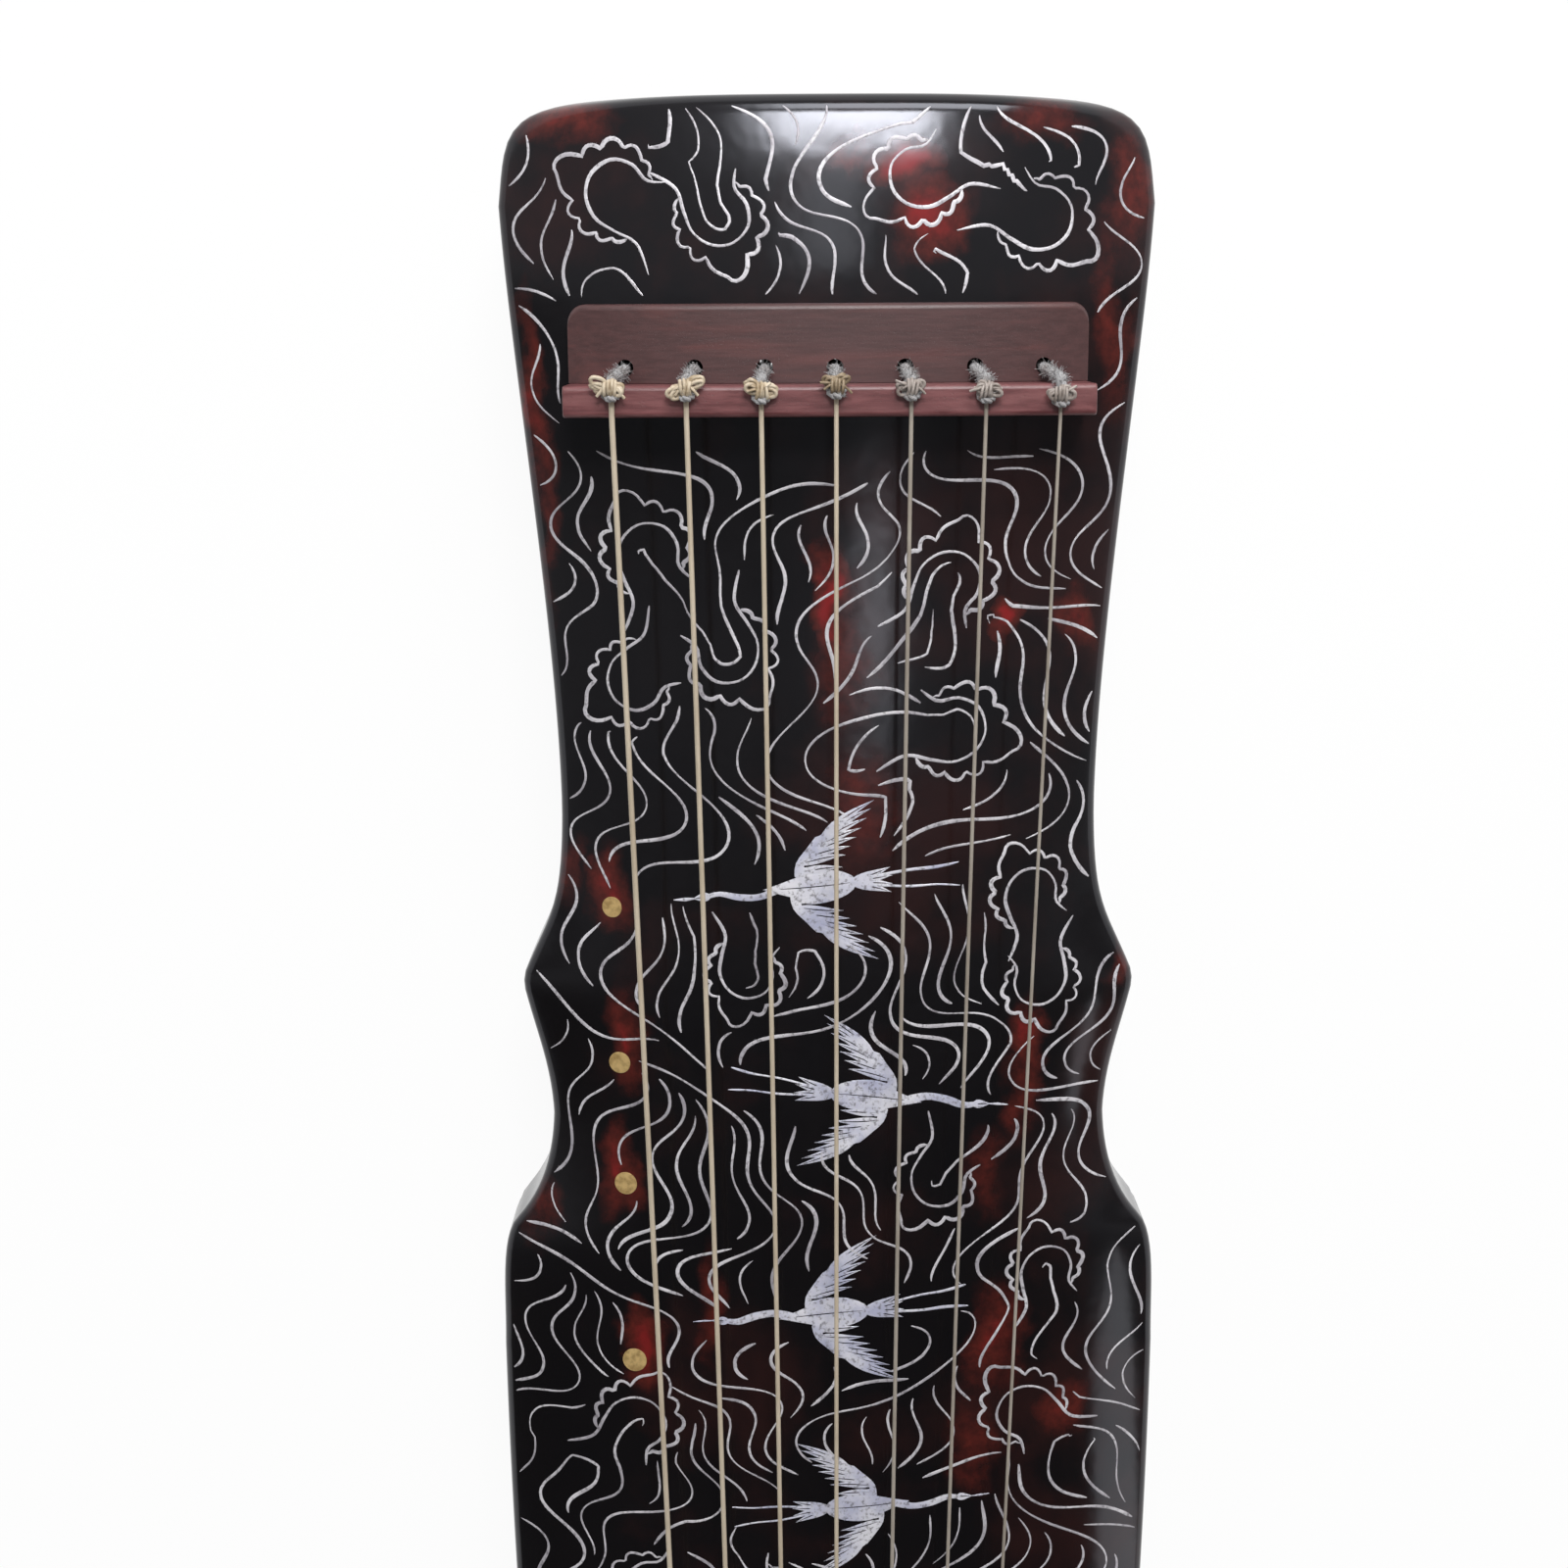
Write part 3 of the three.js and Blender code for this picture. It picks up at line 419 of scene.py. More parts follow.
def board_ring(x):
    half = half_width(x)
    flat = half - edge_round
    top = [(x, -share * flat, board_top(x, share * flat)) for share in column_shares]
    rise = board_top(x, flat)
    slope = clamp(board_top(x, flat - 1) - rise, 0, 2)
    corner = rise - slope * edge_round
    bend = []
    for step in range(1, 6):
        t = step / 5
        y = mix(mix(flat, half, t), half, t)
        z = mix(mix(rise, corner, t), mix(corner, corner - edge_round, t), t)
        bend.append((y, z))
    left = [(x, y, z) for y, z in reversed(bend)]
    right = [(x, -y, z) for y, z in bend]
    return [(x, half, seam_z), *left, *top, *right, (x, -half, seam_z)]


soundboard = ring_piece("lacquered_soundboard", [board_ring(x) for x in stations])

# The hollow leaves the board thicker over the two sound holes and solid over the feet.
hollow_rings = []
for step in range(53):
    x = mix(-539, 475.6, step / 52)
    half = min(half_width(x + d) for d in (-board_wall, 0, board_wall)) - board_wall
    top = [(x, -share * half, board_top(x, share * half) - board_wall) for share in column_shares[::4]]
    hollow_rings.append([(x, half, 38), *top, (x, -half, 38)])
hollow = ring_piece("hollow", hollow_rings)
long_hole_x = 135.86
short_hole_x = -410.2
over_z = 99
underside_z = 30
plate_top = 46
foot_x = -293.92
foot_y = 38
pillar_half = 17
ribs = []
for x, reach, half in ((long_hole_x, 109, 22), (short_hole_x, 59, 21)):
    ribs.append(block("rib", (x - reach, -half, board_top(x, 0) - 22), (x + reach, half, over_z)))
for y in (foot_y, -foot_y):
    low = (foot_x - pillar_half, y - pillar_half, underside_z)
    ribs.append(block("foot_block", low, (foot_x + pillar_half, y + pillar_half, over_z)))
carve(hollow, ribs)
notch_half = 34.3
saddle_top = 52
nut_bed = board_top(nut_x, 0) - 14
plate_seat = ((534.5, -69.23), (563.1, 65.83))
carve(
    soundboard,
    [
        hollow,
        block("tail_notch", (-624, -notch_half, underside_z), (-618, notch_half, over_z)),
        block("saddle_seat", (-620, -notch_half, underside_z), (-599.7, notch_half, saddle_top)),
        block("nut_seat", (-620, -notch_half, nut_bed), (-603.7, notch_half, over_z)),
        block("plate_seat", (*plate_seat[0], underside_z), (*plate_seat[1], plate_top)),
    ],
)

# The red clouds: place of each along and across, how far it reaches, and how bright it is.
red_clouds = [
    (604, -21, 7, 11, 1.15), (588, -27, 13, 12, 1.0), (606, -8, 5, 9, 0.55), (616, 72, 7, 16, 0.7),
    (615, -58, 7, 15, 0.6), (598, -84, 24, 8, 0.65), (558, -80, 32, 6, 0.6), (540, 83, 34, 5, 0.8),
    (508, 80, 30, 5, 0.6), (484, 0, 17, 6, 1.25), (470, -4, 30, 11, 0.5), (477, -49, 5, 5, 1.2),
    (478, -71, 11, 6, 0.75), (424, -9, 18, 11, 0.55), (399, 64, 14, 8, 0.95), (404, 76, 12, 5, 0.5),
    (354, 60, 17, 7, 0.9), (372, -86, 8, 6, 0.6), (354, -60, 15, 7, 0.85), (336, -57, 20, 7, 0.6),
    (312, 63, 17, 8, 0.9), (298, 88, 14, 5, 0.45), (270, 36, 20, 6, 0.75), (255, 57, 15, 8, 0.95),
    (258, -50, 20, 11, 0.8), (313, -47, 18, 8, 0.45), (232, -72, 12, 8, 0.7), (222, -44, 18, 10, 0.55),
    (140, 30, 24, 9, 0.8), (60, -30, 30, 10, 0.7), (-40, 50, 26, 9, 0.9), (-150, -10, 36, 11, 0.8),
    (-260, 45, 24, 8, 0.7), (-330, -50, 32, 10, 0.8), (-450, 20, 30, 11, 0.9), (-560, -40, 26, 9, 0.7),
]
lacquer, place = new_finish("lacquer")
wide = place.cloud(0.03, 3)
drift = place.astray(4, 0.022)
reach = None
for x, y, long, broad, bright_share in red_clouds:
    inverse = (1000 / long, 1000 / broad, 0)
    shift = (-x / long, -y / broad, 0)
    values = {0: drift, 1: inverse, 2: shift}
    away = place.node("ShaderNodeVectorMath", {"operation": "MULTIPLY_ADD"}, values).size()
    near = bright_share * 1.2 - away * bright_share
    reach = near if reach is None else reach.larger(near)
speck = place.cloud(0.0035, 4, 0.65)
cloudiness = (reach + speck * 0.16 - 0.08).ease(0.05, 0.75)
heart = (reach + speck * 0.3 - 0.15).ease(0.65, 1.3)
haze = (place.cloud(0.05, 5, 0.58) + place.split()[1] * -0.9).ease(0.47, 0.7) * 0.42
ground = wide.blend((0.0032, 0.003, 0.0037), (0.006, 0.0047, 0.005))
ground = haze.blend(ground, (0.036, 0.0105, 0.009))
red = speck.ease(0.3, 0.7).blend((0.055, 0.0105, 0.008), (0.095, 0.015, 0.011))
ground = (cloudiness * (0.8 + 0.2 * speck)).blend(ground, red)
ground = heart.blend(ground, (0.2, 0.014, 0.014))
sheen = place.cloud(0.02, 4)
waves = place.cloud(0.012, 2)
values = {
    "Base Color": ground,
    "Roughness": 0.1 + 0.1 * sheen,
    "Normal": waves.dent(0.0001),
    "IOR": 1.45,
    "Specular Tint": (0.88, 0.9, 1),
}
place.surface(values)
fit(soundboard, lacquer, "lacquer", "soundboard")

# ---- Line work on the board ----
# Silver-grey lines drawn by brush in the lacquer. They flow in nested waves along the board, round
# scalloped cloud bands and silver cranes in flight, which is a traditional cloud and crane ground.
luck = random.Random(41)


def lengths_along(way):
    """How far along a way each of its points lies."""
    lengths = [0.0]
    for a, b in zip(way, way[1:]):
        lengths.append(lengths[-1] + math.dist(a, b))
    return lengths


def turned(cx, cy, angle, u, v):
    """A point (u, v) from a middle, turned by an angle."""
    return (cx + u * math.cos(angle) - v * math.sin(angle), cy + u * math.sin(angle) + v * math.cos(angle))


class Gathered:
    """Points in millimetres and faces, gathered into one mesh."""

    def __init__(self):
        self.points = []
        self.faces = []

    def add(self, points, faces):
        start = len(self.points)
        self.points += points
        self.faces += [tuple(corner + start for corner in face) for face in faces]


class Drawing(Gathered):
    """Brush lines and feathers that lie on the board."""

    def lay(self, rows):
        """A band of faces over equally long rows of (x, y, height above the board)."""
        broad = len(rows[0])
        faces = []
        for i in range(len(rows) - 1):
            for a in range(i * broad, (i + 1) * broad - 1):
                faces.append((a, a + broad, a + broad + 1, a + 1))
        self.add([(x, y, board_top(x, y) + lift) for row in rows for x, y, lift in row], faces)

    def line(self, way, width, taper=3.0):
        """A crowned brush line along a way of (x, y) points, thinner towards both ends."""
        if len(way) < 2:
            return
        lengths = lengths_along(way)
        whole = lengths[-1]
        phase = luck.uniform(0, 10)
        rows = []
        for i, (x, y) in enumerate(way):
            (bx, by), (ax, ay) = way[max(i - 1, 0)], way[min(i + 1, len(way) - 1)]
            dx, dy = ax - bx, ay - by
            size = math.hypot(dx, dy) or 1
            ends = clamp(min(lengths[i], whole - lengths[i]) / taper, 0, 1)
            swell = 1 + 0.24 * math.sin(lengths[i] / 9 + phase) + 0.1 * math.sin(lengths[i] / 2.3 + phase)
            reach = width / 2 * swell * (0.3 + 0.7 * math.sqrt(ends))
            nx, ny = -dy / size * reach, dx / size * reach
            across = ((1, 0.02), (0.5, 0.09), (-0.5, 0.09), (-1, 0.02))
            rows.append([(x + nx * share, y + ny * share, rise) for share, rise in across])
        self.lay(rows)

    def feather(self, x, y, angle, length, width, curl):
        """Two filled halves of a slender feather, with a dark quill left open between them."""
        for side in (1, -1):
            rows = []
            for i in range(17):
                t = i / 16
                spot = turned(x, y, angle + curl * t / 2, length * t, 0)
                reach = width / 2 * math.sin(math.pi * t**0.7) * (1 - 0.25 * t) if 0 < t < 1 else 0
                quill = min(0.16 * math.sin(math.pi * t), reach)
                row = []
                for share, lift in ((0, 0.05), (0.5, 0.1), (1, 0.02)):
                    row.append((*turned(*spot, angle + curl * t, 0, mix(quill, reach, share) * side), lift))
                rows.append(row)
            self.lay(rows)

    def finish(self, name):
        piece = bare_piece(name, self.points, self.faces)
        work = bmesh.new()
        work.from_mesh(piece.data)
        for face in work.faces:
            face.smooth = True
            face.normal_update()
            if face.normal.z < 0:
                face.normal_flip()
        work.to_mesh(piece.data)
        work.free()
        return piece


def flowed(points, fine=1.1, closed=False):
    """A smooth way through points in the plane or in space, as evenly spaced points."""
    way = []
    padded = [points[-1], *points, *points[:2]] if closed else [points[0], *points, points[-1]]
    for p0, p1, p2, p3 in zip(padded, padded[1:], padded[2:], padded[3:]):
        steps = max(2, round(math.dist(p1, p2) / fine))
        for step in range(steps):
            t = step / steps
            spot = []
            for a, b, c, d in zip(p0, p1, p2, p3):
                bent = (2 * a - 5 * b + 4 * c - d) * t * t + (3 * b - a - 3 * c + d) * t**3
                spot.append(0.5 * (2 * b + (c - a) * t + bent))
            way.append(tuple(spot))
    return way if closed else [*way, tuple(points[-1])]


# The cranes: the place of the breast, the way that it flies in degrees, its length and its hand.
cranes = [
    (402, 0, 94, 84, 1), (337, -8, 262, 84, 1), (268, -4, 97, 84, -1), (204, -6, 276, 80, -1),
    (-15, -8, 96, 76, 1), (-150, 4, 262, 72, 1), (-305, 0, 98, 64, -1),
]
# Cloud bands: the place of the bend, the way that its nose points, the size and the hand.
cloud_bands = [
    (601, 64, 60, 8.5, 1), (583, 26, -160, 8, -1), (597, -18, 120, 8, 1), (586, -66, -120, 8.5, -1),
    (505, 52, 20, 8.5, 1), (512, 8, 160, 8, -1), (496, -38, -20, 8.5, 1), (455, 60, 130, 8, -1),
    (462, 26, -150, 8.5, 1), (447, -44, -100, 9, -1), (412, 62, 30, 7.5, 1), (404, -58, 20, 7.5, 1),
    (368, 24, 170, 7.5, -1), (364, -62, -170, 7.5, 1), (310, 46, 60, 8, 1), (303, -30, 150, 8, -1),
    (286, -66, 10, 7.5, 1), (236, 54, -30, 8.5, 1), (238, -54, 40, 8.5, -1), (172, 62, 120, 8.5, 1),
    (168, 20, -160, 8.5, -1), (160, -40, -40, 8.5, 1), (110, 40, 30, 9, -1), (98, -20, 160, 9, 1),
    (52, 66, 80, 8.5, 1), (40, -62, -70, 8.5, -1), (30, 20, 150, 8.5, 1), (-30, 58, 30, 8.5, -1),
    (-66, -46, -30, 9, 1), (-90, 30, 160, 8.5, -1), (-120, -64, 20, 8, 1), (-170, 54, -20, 8.5, 1),
    (-205, -36, 150, 8.5, -1), (-240, 34, 60, 8.5, 1), (-262, -46, -140, 8.5, 1),
    (-345, 34, 20, 8.5, -1), (-362, -30, 160, 8.5, 1), (-420, 10, -30, 9, 1), (-470, -38, 40, 8.5, -1),
    (-482, 36, 150, 8.5, 1), (-535, -16, -20, 8.5, 1), (-560, 30, 140, 8, -1),
]
# The way of a band's smooth inner edge round its bend, in the band's own size.
band_bend = [
    (-3.1, 1.9), (-2.3, 1.25), (-1.45, 1.25), (-0.7, 1.2), (-0.1, 0.75), (0.1, 0.05), (-0.25, -0.65),
    (-0.95, -0.85), (-1.6, -0.65), (-2.25, -0.95),
]
# The studs lie at fixed shares of the speaking length, beside the first of the strings, which draw
# together from the bridge to the nut. The middle stud is the largest.
string_centre = -1.7
bridge_span = 120.74
nut_span = 56.6
stud_shares = (1 / 8, 1 / 6, 1 / 5, 1 / 4, 1 / 3, 2 / 5, 1 / 2, 3 / 5, 2 / 3, 3 / 4, 4 / 5, 5 / 6, 7 / 8)
studs = []
for number, share in enumerate(stud_shares, 1):
    x = bridge_x - speaking * share
    y = string_centre + mix(bridge_span, nut_span, share) / 2 + 8.8
    studs.append((number, x, y, mix(6.2, 10, 1 - abs(share - 0.5) / 0.375) / 2))


def crane_reach(x, y):
    """How far a point is from the nearest crane: under 1 is over its body, its wings or its neck."""
    least = 9
    for cx, cy, degrees, length, hand in cranes:
        angle = math.radians(degrees)
        dx, dy = (x - cx) / length, (y - cy) / length
        along = dx * math.cos(angle) + dy * math.sin(angle)
        across = dy * math.cos(angle) - dx * math.sin(angle)
        wings = math.hypot((along + 0.03) / 0.21, across / 0.215)
        body = math.hypot((along - 0.03) / 0.55, across / 0.09)
        least = min(least, wings, body)
    return least


def free_of_line(x, y):
    """Whether a line may be drawn at a place on the board."""
    if x > 618.5 or x < -596 or abs(y) > half_width(x) - 2.8:
        return False
    if x > 600 and abs(y) > half_width(x) - 5:
        return False
    if 526 < x < 568 and abs(y) < 75:
        return False
    if x < -545 and abs(y) > half_width(x) - 17 or x < -585 and abs(y) > 26:
        return False
    if any(math.hypot(x - sx, y - sy) < radius + 2.2 for _, sx, sy, radius in studs):
        return False
    return crane_reach(x, y) > 1


class Neighbours:
    """Points on the board with a direction, kept by squares so that the nearest are found at once."""

    def __init__(self, square):
        self.square = square
        self.kept = {}

    def add(self, x, y, angle=0.0):
        self.kept.setdefault((int(x // self.square), int(y // self.square)), []).append((x, y, angle))

    def nearest(self, x, y):
        """The distance and the direction of the nearest point, or a long way and none."""
        i, j = int(x // self.square), int(y // self.square)
        best, best_angle = self.square * self.square, None
        for a in (i - 1, i, i + 1):
            for b in (j - 1, j, j + 1):
                for px, py, angle in self.kept.get((a, b), ()):
                    away = (px - x) ** 2 + (py - y) ** 2
                    if away < best:
                        best, best_angle = away, angle
        return math.sqrt(best), best_angle


line_drawing = Drawing()
taken = Neighbours(8)
guides = Neighbours(20)
waiting = []

# The cloud bands come first: a smooth inner edge, a scalloped outer one and a nose at the bend.
for cx, cy, degrees, size, hand in cloud_bands:
    facing = math.radians(degrees)
    inner = [turned(cx, cy, facing, u * size, v * size * hand) for u, v in flowed(band_bend, 0.06)]
    last = len(inner) - 1
    outer, plain = [], []
    walked = 0
    for i, (x, y) in enumerate(inner):
        (bx, by), (ax, ay) = inner[max(i - 1, 0)], inner[min(i + 1, last)]
        angle = math.atan2(ay - by, ax - bx)
        share = clamp((i / last - 0.2) / 0.72, 0, 1)
        swell = math.sin(math.pi * share) ** 0.6
        walked += math.hypot(ax - bx, ay - by) / 2 * (1 + 0.35 * swell)
        nose = math.exp(-(((share - 0.5) / 0.055) ** 2)) * 0.75
        scallop = abs(math.sin(walked / size * 4.9)) ** 0.8 * 0.33 * swell * (1 - nose)
        out = size * (0.06 + 0.36 * swell + scallop + nose) * hand
        outer.append(turned(x, y, angle, 0, out))
        plain.append((x, y, angle))
    outer = outer[round(last * 0.2): round(last * 0.93)]
    if not all(free_of_line(x, y) for x, y in outer[::8]):
        continue
    line_drawing.line(inner[::3], 0.85, 6)
    line_drawing.line(outer, 0.95, 2)
    for x, y, angle in plain[::4]:
        taken.add(x, y)
        guides.add(x, y, angle)
    for x, y in outer[::4]:
        taken.add(x, y)
    waiting += [inner[0], inner[-1]]


def flow_angle(x, y):
    """The way that the waves run at a place, in radians from the board's length."""
    angle = (
        0.85 * math.sin(x / 5.6 + 2.3 * math.sin(y / 29 + 0.6) + 1.7 * math.sin(x / 43 + y / 51))
        + 0.55 * math.sin(x / 21 - y / 16 + 1.3 * math.sin(x / 51))
        + 0.3 * math.sin(y / 13 + x / 9.1 + 2 * math.sin(x / 45))
    )
    away, along = guides.nearest(x, y)
    if along is not None:
        pull = math.exp(-((away / 9) ** 2))
        tx, ty = math.cos(along), math.sin(along)
        vx, vy = math.cos(angle), math.sin(angle)
        if tx * vx + ty * vy < 0:
            tx, ty = -tx, -ty
        angle = math.atan2(mix(vy, ty, pull), mix(vx, tx, pull))
    return angle


# Then the waves, each started beside one that is drawn and led on until it would meet another.
gap = 7.4
pace = 0.8


def led(x, y, way, own):
    """Leads a line on from a place until it leaves the free board or meets another line."""
    points = []
    heading = None
    for number in range(230):
        angle = flow_angle(x, y)
        if heading is not None and math.cos(angle - heading) < 0:
            angle += math.pi
        elif heading is None and way < 0:
            angle += math.pi
        heading = angle
        x, y = turned(x, y, angle, pace, 0)
        if not free_of_line(x, y) or taken.nearest(x, y)[0] < gap * 0.4:
            break
        if number > 12 and own.nearest(x, y)[0] < gap * 0.5:
            break
        if number > 8:
            own.add(*points[-8])
        points.append((x, y))
    return points


starts = [(luck.uniform(-600, 614), luck.uniform(-92, 92)) for _ in range(1500)]
starts.sort(key=lambda start: -start[0])
while waiting or starts:
    x, y = waiting.pop(0) if waiting else starts.pop(0)
    if not free_of_line(x, y) or taken.nearest(x, y)[0] < gap * 0.9:
        continue
    own = Neighbours(8)
    way = [*reversed(led(x, y, -1, own)), (x, y)]
    way += led(x, y, 1, own)
    if len(way) < 16:
        continue
    thin = [way[0]]
    bend_left, since = 0, 0
    for before, here, after in zip(way, way[1:], way[2:]):
        a = math.atan2(here[1] - before[1], here[0] - before[0])
        b = math.atan2(after[1] - here[1], after[0] - here[0])
        bend_left += abs((b - a + math.pi) % (2 * math.pi) - math.pi)
        since += pace
        if bend_left > 0.07 or since > 2.3:
            thin.append(here)
            bend_left, since = 0, 0
    thin.append(way[-1])
    line_drawing.line(thin, luck.uniform(0.6, 0.95))
    for px, py in way[::2]:
        taken.add(px, py)
    for i in range(4, len(way) - 4, 9):
        px, py = way[i]
        angle = flow_angle(px, py)
        for side in (1, -1):
            waiting.append(turned(px, py, angle, 0, side * gap))

# The cranes: a body and two spread wings of feathers, a long neck with a beak, and trailing legs.
crane_drawing = Drawing()
for cx, cy, degrees, length, hand in cranes:
    facing = math.radians(degrees)

    def placed(u, v):
        return turned(cx, cy, facing, u * length, v * length * hand)

    def feather(u, v, way, long, broad, curl=0.0):
        way = facing + hand * math.radians(way)
        crane_drawing.feather(*placed(u, v), way, long * length, broad * length, hand * curl)

    feather(-0.1, 0.0, 4, 0.33, 0.12, -0.1)
    for way in (-14, -5, 4, 13):
        feather(-0.07, 0.0, 180 + way, 0.15, 0.036, way * 0.01)
    neck = ((0.17, 0.004), (0.24, 0.03), (0.31, 0.028), (0.38, 0.012), (0.43, 0.022))
    crane_drawing.line(flowed([placed(u, v) for u, v in neck]), length * 0.024, 1)
    feather(0.41, 0.018, 6, 0.065, 0.034)
    crane_drawing.line([placed(0.465, 0.024), placed(0.5, 0.026), placed(0.54, 0.026)], length * 0.011, 4)
    for v in (-0.012, 0.014):
        leg = [placed(-0.14, v), placed(-0.27, v * 2.2), placed(-0.37, v * 2.4), placed(-0.45, v * 3.2)]
        crane_drawing.line(flowed(leg), length * 0.0085, 3)
    for wing in (1, -1):
        arm = [(0.12, 0.02), (0.115, 0.075), (0.075, 0.125), (0.035, 0.17)]
        arm = [(u - (0.02 if wing < 0 else 0), v * wing) for u, v in arm]
        crane_drawing.line([placed(u, v) for u, v in flowed(arm, 0.02)], length * 0.026, 1)
        spots = flowed(arm, 0.024)
        for i, (u, v) in enumerate(spots):
            share = i / (len(spots) - 1)
            way = wing * mix(172, 142, share)
            feather(u, v, way, mix(0.14, 0.22, share), 0.032, wing * 0.25)
        for u, v in spots[1::2]:
            feather(u + 0.004, v, wing * 166, 0.07, 0.03, wing * 0.1)


def silver_finish(name, light_tone, dark_tone, metal, rough):
    material, place = new_finish(name)
    patchy = place.cloud(0.014, 5, 0.6)
    worn = place.cloud(0.0012, 3)
    colour = patchy.ease(0.3, 0.7).blend(dark_tone, light_tone)
    values = {
        "Base Color": (worn.ease(0.3, 0.5) * 0.7 + 0.3).blend((0.1, 0.09, 0.1), colour),
        "Metallic": metal,
        "Roughness": rough + 0.15 * worn,
        "Normal": worn.dent(0.00003),
    }
    place.surface(values)
    return material


drawn_lines = line_drawing.finish("drawn_cloud_lines")
fit(drawn_lines, silver_finish("silver_line", (0.66, 0.64, 0.67), (0.32, 0.3, 0.33), 0.1, 0.35), None)
drawn_cranes = crane_drawing.finish("drawn_cranes")
fit(drawn_cranes, silver_finish("silver_leaf", (0.8, 0.79, 0.84), (0.46, 0.47, 0.62), 0.25, 0.32), None)

# ---- Bottom board ----
# A flat board glued under the soundboard, with eased lower edges, lacquered like the top. It has two
# sound holes, windows for the pegs and for the saddle, and square holes for the feet's sockets.
bottom_rings = []
for x in stations:
    half = half_width(x) - 0.4
    bend = arc(half - 3, underside_z + 3, 3, 0, -90, 4)[1:]
    edge = [(half, seam_z - 0.02), (half, underside_z + 3.2), *bend, (half - 3.6, underside_z)]
    bottom_rings.append([(x, y, z) for y, z in edge] + [(x, -y, z) for y, z in reversed(edge)])
bottom_board = ring_piece("lacquered_bottom_board", bottom_rings)


def slot_piece(name, x, length, width, low, high):
    """A piece with half-round ends, as long and wide as a sound hole."""
    reach, radius = length / 2 - width / 2, width / 2
    way = arc(x + reach, 0, radius, -90, 90, 16) + arc(x - reach, 0, radius, 90, 270, 16)
    return level_piece(name, way, low, high)


below_board = 28
above_board = 42
carve(
    bottom_board,
    [
        slot_piece("long_hole", long_hole_x, 208.4, 34.4, below_board, above_board),
        slot_piece("short_hole", short_hole_x, 108.4, 32.4, below_board, above_board),
        block("peg_window", (*plate_seat[0], below_board), (*plate_seat[1], above_board)),
        block("saddle_window", (-624, -notch_half, below_board), (-599.7, notch_half, above_board)),
        block("left_hole", (-307.1, 24.8, below_board), (-280.7, 51.2, above_board)),
        block("right_hole", (-307.1, -51.2, below_board), (-280.7, -24.8, above_board)),
    ],
)
fit(bottom_board, lacquer, "lacquer", "bottom_board")


# ---- Bridge and head strip ----
# The bridge is a tall bar of rosy hardwood across the head with a gently arched, rounded crest.
# The strip in front of it is darker, is rounded at its two head corners and has seven cord holes.
def wood_finish(name, dark_tone, light_tone, pale_tone, grain_way, rough, grain=0.0016):
    """Oiled hardwood. The grain way gives how much the pattern is stretched on each axis."""
    material, place = new_finish(name)
    along_grain = place * grain_way
    lazy = along_grain.astray(2, 0.006)
    streaks = lazy.cloud(grain, 5, 0.65)
    broad = lazy.cloud(grain * 5, 3)
    pores = (place * tuple(1 + (w - 1) * 0.6 for w in grain_way)).cloud(grain * 0.22, 2).ease(0.62, 0.75)
    colour = streaks.ease(0.32, 0.68).blend(dark_tone, light_tone)
    colour = (broad.ease(0.5, 0.75) * 0.5).blend(colour, pale_tone)
    colour = (pores * 0.45).blend(colour, tuple(c * 0.3 for c in dark_tone))
    relief = streaks * 0.6 - pores * 0.5
    values = {
        "Base Color": colour,
        "Roughness": rough + 0.12 * streaks + 0.1 * pores,
        "Normal": relief.dent(0.00006),
    }
    place.surface(values)
    return material


def ease_edges(piece, width=0.45, steps=3, angle=38):
    """Rounds a piece's hard edges."""
    work = bmesh.new()
    work.from_mesh(piece.data)
    bmesh.ops.remove_doubles(work, verts=work.verts, dist=1e-7)
    sharp = [e for e in work.edges if len(e.link_faces) == 2 and e.calc_face_angle(0) > math.radians(angle)]
    shape = {"offset": width * MM, "segments": steps, "profile": 0.5}
    bmesh.ops.bevel(work, geom=sharp, affect="EDGES", clamp_overlap=True, **shape)
    work.to_mesh(piece.data)
    work.free()
    smooth_piece(piece, 40)


bar_half = 72.07
bar_head_x = 544.5
bar_round = 1.5
groove = 2.6
crest_height = 97.5
crest_fall = 2.5


def crest(y):
    return crest_height - crest_fall * (y / bar_half) ** 2


def bar_section(y):
    low = crest(y) - bar_round
    ring = [(x, board_top(x, y) - groove) for x in (bar_head_x, bridge_x)]
    ring += arc(bridge_x + bar_round, low, bar_round, 180, 90, 6)
    return ring + arc(bar_head_x - bar_round, low, bar_round, 90, 0, 6)


bridge = cross_piece("bridge_bar", [mix(-bar_half, bar_half, i / 72) for i in range(73)], bar_section)
ease_edges(bridge, 0.5)
rosy_tones = ((0.1, 0.029, 0.031), (0.175, 0.06, 0.062), (0.26, 0.11, 0.11))
rosy = wood_finish("rosy_hardwood", *rosy_tones, (1, 0.12, 1), 0.33)
fit(bridge, rosy, "rosy_hardwood", "bridge")

strip_x = 544.6
strip_rise = 4
corner_x = 561
corner_round = 5
strip_round = 1.8
straight = bar_half - corner_round
strip_places = [mix(-straight, straight, i / 60) for i in range(61)]
for i in range(1, 10):
    bent = straight + corner_round * math.sin(i / 9 * math.pi / 2)
    strip_places += [bent, -bent]


def strip_section(y):
    head = corner_x + math.sqrt(max(corner_round**2 - max(abs(y) - straight, 0) ** 2, 0))
    low = board_top(head, y) + strip_rise - strip_round
    ring = [(x, board_top(x, y) - groove) for x in (head, strip_x)]
    ring += [(x, board_top(x, y) + strip_rise) for x in (strip_x, 553)]
    return ring + arc(head - strip_round, low, strip_round, 90, 0, 6)


head_strip = cross_piece("drilled_head_strip", sorted(strip_places), strip_section)
ease_edges(head_strip, 0.6, 4)

peg_x = 548.8
peg_span = 115.43
cord_hole = 2.3


def peg_y(number):
    return string_centre + (1 - (number - 1) / 3) * peg_span / 2


